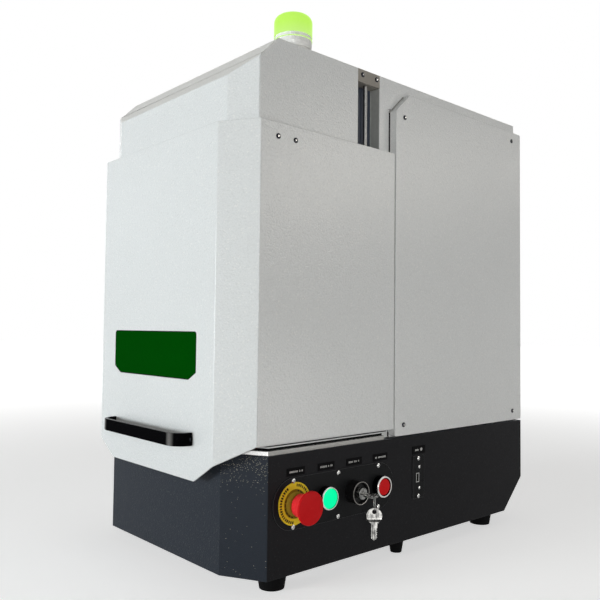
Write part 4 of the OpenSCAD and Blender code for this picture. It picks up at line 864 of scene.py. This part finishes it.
def makeHeadTree(name, cross):
    # one screw: a domed head with its recess, on a plain shank
    tree, w, given, out = newTree(name, [
        ("Head Radius", "Float", 0.003), ("Head Height", "Float", 0.0012), ("Dome", "Float", 0.0008),
        ("Recess", "Float", 0.003), ("Depth", "Float", 0.0011), ("Shank Radius", "Float", 0.0015),
        ("Shank Length", "Float", 0.005), ("Seed", "Int", 3), ("Material", "Material", None)])
    height, dome, recess = given["Head Height"], given["Dome"], given["Recess"]
    disc = w.make("GeometryNodeMeshCylinder", {
        "Vertices": 28, "Side Segments": 1, "Fill Segments": 5,
        "Radius": given["Head Radius"], "Depth": height,
    }, fill_type="TRIANGLE_FAN").outputs["Mesh"]
    at = w.split(w.add("GeometryNodeInputPosition").outputs[0])
    away = w.math("ADD", w.math("MULTIPLY", at["X"], at["X"]), w.math("MULTIPLY", at["Y"], at["Y"]))
    share = w.math("DIVIDE", away, w.math("MULTIPLY", given["Head Radius"], given["Head Radius"]))
    rise = w.math("MULTIPLY", dome, w.math("SUBTRACT", 1.0, share))
    isTop = w.math("GREATER_THAN", at["Z"], 0.0)
    lift = w.vector(z=w.math("MULTIPLY", rise, isTop))
    domed = w.make("GeometryNodeSetPosition", {"Geometry": disc, "Offset": lift}).outputs[0]
    top = w.math("ADD", w.math("MULTIPLY", height, 0.5), dome)
    place = w.vector(z=top)
    tall = w.math("MULTIPLY", given["Depth"], 2.0)
    if cross:
        slim = w.math("MULTIPLY", recess, 0.24)
        cutters = []
        for size in ((recess, slim), (slim, recess)):
            span = w.vector(size[0], size[1], tall)
            cutters.append(w.make("GeometryNodeMeshCube", {"Size": span}).outputs["Mesh"])
    else:
        cutters = [w.make("GeometryNodeMeshCylinder", {
            "Vertices": 6, "Radius": w.math("MULTIPLY", recess, 0.5), "Depth": tall,
        }, fill_type="NGON").outputs["Mesh"]]
    cut = w.add("GeometryNodeMeshBoolean", operation="DIFFERENCE", solver="EXACT")
    w.put(cut.inputs[0], domed)
    for cutter in cutters:
        w.put(cut.inputs[1], w.moved(cutter, place))
    shank = w.make("GeometryNodeMeshCylinder", {
        "Vertices": 16, "Radius": given["Shank Radius"], "Depth": given["Shank Length"],
    }, fill_type="NGON").outputs["Mesh"]
    down = w.math("MULTIPLY", w.math("ADD", height, given["Shank Length"]), -0.5)
    shank = w.moved(shank, w.vector(z=down))
    whole = w.add("GeometryNodeJoinGeometry")
    w.put(whole.inputs[0], cut.outputs[0])
    w.put(whole.inputs[0], shank)
    # the outermost point of the head lies on the given point
    hung = w.moved(whole.outputs[0], w.vector(z=w.math("MULTIPLY", top, -1.0)))
    axis = w.make("GeometryNodeInputNamedAttribute", {"Name": "axis"}, data_type="FLOAT_VECTOR").outputs[0]
    facing = w.make("FunctionNodeAlignRotationToVector", {"Vector": axis}, axis="Z").outputs[0]
    angle = w.random(0.0, 6.283, given["Seed"])
    spin = w.make("FunctionNodeAxisAngleToRotation", {"Axis": (0, 0, 1), "Angle": angle}).outputs[0]
    stance = w.make("FunctionNodeRotateRotation", {0: facing, 1: spin}, rotation_space="LOCAL").outputs[0]
    finishTree(w, out, w.copies(given["Geometry"], hung, stance), given["Material"])
    return tree


crossHead = makeHeadTree("crossHead", True)
socketHead = makeHeadTree("socketHead", False)
screws = {
    "panel_screws": {"tree": crossHead, "finish": "stainless", "headHeight": 0.0011, "dome": 0.0009,
                     "recess": 0.56, "depth": 0.0011, "seed": 11, "worn": False},
    "cover_screws": {"tree": socketHead, "finish": "screwSteel", "headHeight": 0.0009, "dome": 0.0011,
                     "recess": 0.46, "depth": 0.0012, "seed": 12, "worn": True},
    "door_screws": {"tree": socketHead, "finish": "screwSteel", "headHeight": 0.0009, "dome": 0.0011,
                    "recess": 0.46, "depth": 0.0012, "seed": 13, "worn": True},
}
middle = (cadBox[0] + cadBox[1]) / 2


def makeScrews(node, v):
    groups = {}
    for lowest, highest in loosePieces(node):
        size = highest - lowest
        # the length runs along the axis whose size differs from the other two
        along = max(range(3), key=lambda i: abs(3 * size[i] - sum(size)))
        across = [size[i] for i in range(3) if i != along]
        centre = (lowest + highest) / 2
        axis = Vector((0, 0, 0))
        axis[along] = 1 if centre[along] > middle[along] else -1
        tip = centre + axis * size[along] / 2
        key = (round(across[0] / 2, 4), round(size[along], 4))
        groups.setdefault(key, []).append((tip, axis))
    made = []
    for (radius, length), places in sorted(groups.items()):
        made.append(grown(node + "Part", v["tree"], [p for p, _ in places], {
            "Head Radius": radius, "Head Height": v["headHeight"], "Dome": v["dome"],
            "Recess": 2 * radius * v["recess"], "Depth": v["depth"], "Shank Radius": radius * 0.52,
            "Shank Length": length - v["headHeight"] - v["dome"], "Seed": v["seed"],
            "Material": materials[v["finish"]],
        }, {"axis": [a for _, a in places]}))
    piece = joined(node + "Turned", made, v["finish"])
    if v["worn"]:
        # the sockets' floors and walls are silver, a painted glint inside each dark head
        deepest, outmost, largest = -0.0025, 0.0005, 0.00002
        tips = [(tip, axis, radius * v["recess"] * 1.03) for (radius, length), places in groups.items()
                for tip, axis in places]

        def inSocket(face):
            for tip, axis, reach in tips:
                away = face.center - tip
                along = away.dot(axis)
                if deepest < along < outmost and (away - axis * along).length < reach:
                    return face.area < largest
            return False
        refinish(piece, "ringSilver", inSocket)
    seat(piece, node)


for node, values in screws.items():
    makeScrews(node, values)
print("screws done")


leadScrew = {"thread": 0.0012, "lead": 0.010, "starts": 2, "plainEnd": 0.014, "ridge": 0.0016}


def makeThreadTree():
    # a ridge that climbs round a core
    tree, w, given, out = newTree("screwThread", [
        ("Radius", "Float", 0.006), ("Thread", "Float", 0.0012), ("Ridge", "Float", 0.0016),
        ("Length", "Float", 0.4), ("Turns", "Float", 40.0), ("Starts", "Int", 2),
        ("Material", "Material", None)])
    inner = w.math("SUBTRACT", given["Radius"], w.math("MULTIPLY", given["Thread"], 0.5))
    spiral = w.make("GeometryNodeCurveSpiral", {
        "Resolution": 20, "Rotations": given["Turns"], "Start Radius": inner, "End Radius": inner,
        "Height": given["Length"], "Reverse": False}).outputs[0]
    profile = w.make("GeometryNodeCurvePrimitiveQuadrilateral", {
        "Width": given["Thread"], "Height": given["Ridge"]}, mode="RECTANGLE").outputs[0]
    ridge = w.make("GeometryNodeCurveToMesh", {
        "Curve": w.make("GeometryNodeSetCurveNormal", {0: spiral}, mode="Z_UP").outputs[0],
        "Profile Curve": profile, "Fill Caps": True}).outputs[0]
    # one ridge for each start, turned evenly
    index = w.add("GeometryNodeInputIndex").outputs[0]
    angle = w.math("DIVIDE", w.math("MULTIPLY", index, 2 * math.pi), given["Starts"])
    spin = w.make("FunctionNodeAxisAngleToRotation", {"Axis": (0, 0, 1), "Angle": angle}).outputs[0]
    starts = w.make("GeometryNodeMeshLine", {"Count": given["Starts"], "Offset": (0, 0, 0)}).outputs[0]
    placed = w.copies(given["Geometry"], w.real(w.copies(starts, ridge, spin)))
    finishTree(w, out, placed, given["Material"], 0.9)
    return tree


def makeLeadScrew(v):
    lowest, highest, centre = extent("lead_screw")
    radius = (highest.x - lowest.x) / 2
    root = radius - v["thread"]
    start = lowest.z + v["plainEnd"]
    length = highest.z - lowest.z - 2 * v["plainEnd"]
    thread = grown("threadPart", makeThreadTree(), [(centre.x, centre.y, start)], {
        "Radius": radius, "Thread": v["thread"], "Ridge": v["ridge"], "Length": length,
        "Turns": length / v["lead"], "Starts": v["starts"], "Material": materials["stainless"],
    })
    core = turned("corePart", "stainless", [
        (0, lowest.z), (root, lowest.z), (root, highest.z), (0, highest.z)],
        (centre.x, centre.y, 0), "Z", 32, False)
    seat(joined("leadScrewThreaded", [core, thread], "stainless"), "lead_screw")


makeLeadScrew(leadScrew)
print("lead screw done")


marks = {
    "bars": 11,             # in one row
    "rowWidth": 0.0205,
    "barHeight": 0.0026,
    "print": 0.00012,       # thickness of the print
    "seed": 5,
}


def makeRowTree():
    # rows of small bars, some left out, on labels that face +X
    tree, w, given, out = newTree("printedRow", [
        ("Bars", "Int", 11), ("Row Width", "Float", 0.02), ("Bar Height", "Float", 0.0026),
        ("Print", "Float", 0.0001), ("Seed", "Int", 1), ("Material", "Material", None)])
    step = w.math("DIVIDE", given["Row Width"], w.math("SUBTRACT", given["Bars"], 1.0))
    first = w.vector(y=w.math("MULTIPLY", given["Row Width"], -0.5))
    line = w.make("GeometryNodeMeshLine", {
        "Count": given["Bars"], "Start Location": first,
        "Offset": w.vector(y=step)}).outputs[0]
    dots = w.real(w.copies(given["Geometry"], line))
    gap = w.add("FunctionNodeRandomValue", data_type="BOOLEAN")
    w.put(gap.inputs["Probability"], 0.12)
    w.put(gap.inputs["Seed"], given["Seed"])
    kept = w.make("GeometryNodeDeleteGeometry", {0: dots, 1: gap.outputs[3]}, domain="POINT").outputs[0]
    wide = w.random(0.5, 0.86, given["Seed"])
    tall = w.random(0.8, 1.0, w.math("ADD", given["Seed"], 7.0))
    size = w.vector(given["Print"], w.math("MULTIPLY", step, wide),
                    w.math("MULTIPLY", given["Bar Height"], tall))
    bar = w.make("GeometryNodeMeshCube", {"Size": (1, 1, 1)}).outputs["Mesh"]
    finishTree(w, out, w.copies(kept, bar, size=size), given["Material"])
    return tree


def makeRingTree():
    # short strokes round a dial that faces +X, with two plain gaps
    tree, w, given, out = newTree("ringMarks", [
        ("Marks", "Int", 40), ("Radius", "Float", 0.02), ("Stroke", "Float", 0.003), ("Slope", "Float", 0.09),
        ("Print", "Float", 0.0001), ("Seed", "Int", 1), ("Material", "Material", None)])
    ring = w.make("GeometryNodeMeshCircle", {"Vertices": given["Marks"], "Radius": given["Radius"]},
                  fill_type="NONE").outputs[0]
    index = w.add("GeometryNodeInputIndex").outputs[0]
    half = w.math("MULTIPLY", given["Marks"], 0.5)
    isGap = w.math("LESS_THAN", w.math("MODULO", index, half), 4.0)
    kept = w.make("GeometryNodeDeleteGeometry", {0: ring, 1: isGap}, domain="POINT").outputs[0]
    wide = w.random(0.5, 0.8, given["Seed"])
    pitch = w.math("DIVIDE", w.math("MULTIPLY", given["Radius"], 2 * math.pi), given["Marks"])
    size = w.vector(given["Stroke"], w.math("MULTIPLY", pitch, wide), given["Print"])
    place = w.add("GeometryNodeInputPosition").outputs[0]
    facing = w.make("FunctionNodeAlignRotationToVector", {"Vector": place},
                    axis="X", pivot_axis="Z").outputs[0]
    bar = w.make("GeometryNodeMeshCube", {"Size": (1, 1, 1)}).outputs["Mesh"]
    strokes = w.real(w.copies(kept, bar, facing, size))
    # the strokes lie on the slope of the ring
    flat = w.make("ShaderNodeVectorMath", {0: place, 1: (1, 1, 0)}, operation="MULTIPLY").outputs[0]
    away = w.make("ShaderNodeVectorMath", {0: flat}, operation="LENGTH").outputs["Value"]
    fall = w.math("MULTIPLY", w.math("SUBTRACT", given["Radius"], away), given["Slope"])
    sloped = w.make("GeometryNodeSetPosition", {"Geometry": strokes, "Offset": w.vector(z=fall)}).outputs[0]
    upright = w.real(w.moved(sloped, turn=(0, math.pi / 2, 0)))
    finishTree(w, out, w.copies(given["Geometry"], upright), given["Material"])
    return tree


rowTree = makeRowTree()
ringTree = makeRingTree()


def labelMiddles(node):
    # middle of the outer face of each thin label on a plate
    return [Vector((high.x, (low.y + high.y) / 2, (low.z + high.z) / 2))
            for low, high in loosePieces(node) if high.x - low.x < 0.001]


def printRows(name, places, bars, width, v):
    rows = grown(name, rowTree, places, {
        "Bars": bars, "Row Width": width, "Bar Height": v["barHeight"], "Print": v["print"],
        "Seed": v["seed"], "Material": materials["labelInk"]})
    return seat(rows, "control_plate", False)


printRows("controlMarks", labelMiddles("control_plate"), marks["bars"], marks["rowWidth"], marks)
usbLabel = labelMiddles("usb_plate")[0]
printRows("usbMark", [usbLabel - Vector((0, 0.005, 0))], 4, 0.006, marks)
seat(turned("usbDot", "labelInk", [(0, 0), (0.0024, 0), (0.0024, 0.0001), (0, 0.0001)],
            usbLabel + Vector((0, 0.0055, 0.0004)), "X", 24, False), "usb_plate", False)

stopRing = {
    # marks round the dial, their radius, length and the slope of the face under them
    "outer": (44, 0.0233, 0.0034, 0.0889),
    "inner": (20, 0.0167, 0.0014, 0.0),
    "edge": 0.0008,         # height of the ring's outer edge
    "print": 0.0001,
}


def makeRingMarks(v):
    lowest, highest, centre = extent("stop_ring")
    radius = (highest.z - lowest.z) / 2
    rings = []
    for seed, (count, at, stroke, slope) in enumerate((v["outer"], v["inner"])):
        x = lowest.x + v["edge"] + (radius - at) * slope if slope else highest.x
        rings.append(grown("ringPart", ringTree, [(x, centre.y, centre.z)], {
            "Marks": count, "Radius": at, "Stroke": stroke, "Slope": slope, "Print": v["print"],
            "Seed": seed + 2, "Material": materials["ringInk"]}))
    seat(joined("stopRingMarks", rings, "ringInk"), "stop_ring", False)


makeRingMarks(stopRing)
print("printed marks done")


keyRim = {"wide": 0.0011, "proud": 0.0002}


def makeKeyRim(v):
    lowest, highest, centre = extent("key_switch")
    x, r = highest.x, (highest.z - lowest.z) / 2
    seat(turned("keySwitchRim", "rimNickel", [
        (r - v["wide"], x - 0.001), (r - v["wide"], x), (r - v["wide"] * 0.7, x + v["proud"]),
        (r - v["wide"] * 0.2, x + v["proud"]), (r + 0.0001, x - 0.0003), (r + 0.0001, x - 0.001)],
        (0, centre.y, centre.z), "X", 72), "key_switch", False)


makeKeyRim(keyRim)


lensGlass = {"radius": 0.0325, "top": 0.0052, "rim": 0.0042, "bulge": 0.003, "steps": 8}


def makeLensGlass(v):
    # the lowest element of the scan lens, domed inside its mount
    lowest, highest, centre = extent("scan_lens")
    top, rim = lowest.z + v["top"], lowest.z + v["rim"]
    profile = [(0, top), (v["radius"], top), (v["radius"], rim)]
    for k in range(v["steps"], -1, -1):
        share = k / v["steps"]
        profile.append((v["radius"] * share, rim - v["bulge"] * (1 - share * share)))
    glass = turned("scanLensGlass", "lensGlass", profile, (centre.x, centre.y, 0), "Z", 64, False)
    seat(glass, "scan_lens", False)


makeLensGlass(lensGlass)


inletPins = {
    "size": (0.002, 0.012, 0.004),
    "eased": 0.0004,
    "well": (0.0095, 0.018),       # the well's middle, across from the inlet's middle and in from its face
    "spots": [(0.007, -0.002), (-0.007, -0.002), (0, 0.002)],
}


def makeInletPins(v):
    # three blades in the well of the mains inlet
    lowest, highest, centre = extent("mains_inlet")
    across, deep = v["well"]
    foot = Vector((centre.x + across, highest.y - deep, centre.z))
    bm = bmesh.new()
    for x, z in v["spots"]:
        made = bmesh.ops.create_cube(bm, size=1)["verts"]
        bmesh.ops.scale(bm, vec=v["size"], verts=made)
        bmesh.ops.translate(bm, vec=foot + Vector((x, v["size"][1] / 2, z)), verts=made)
    bmesh.ops.bevel(bm, geom=bm.edges[:], offset=v["eased"], segments=2, affect="EDGES")
    for face in bm.faces:
        face.smooth = True
    mesh = bpy.data.meshes.new("inletPins")
    bm.to_mesh(mesh)
    bm.free()
    seat(link("inletPins", mesh, "stainless"), "mains_inlet", False)


makeInletPins(inletPins)
print("trim done")
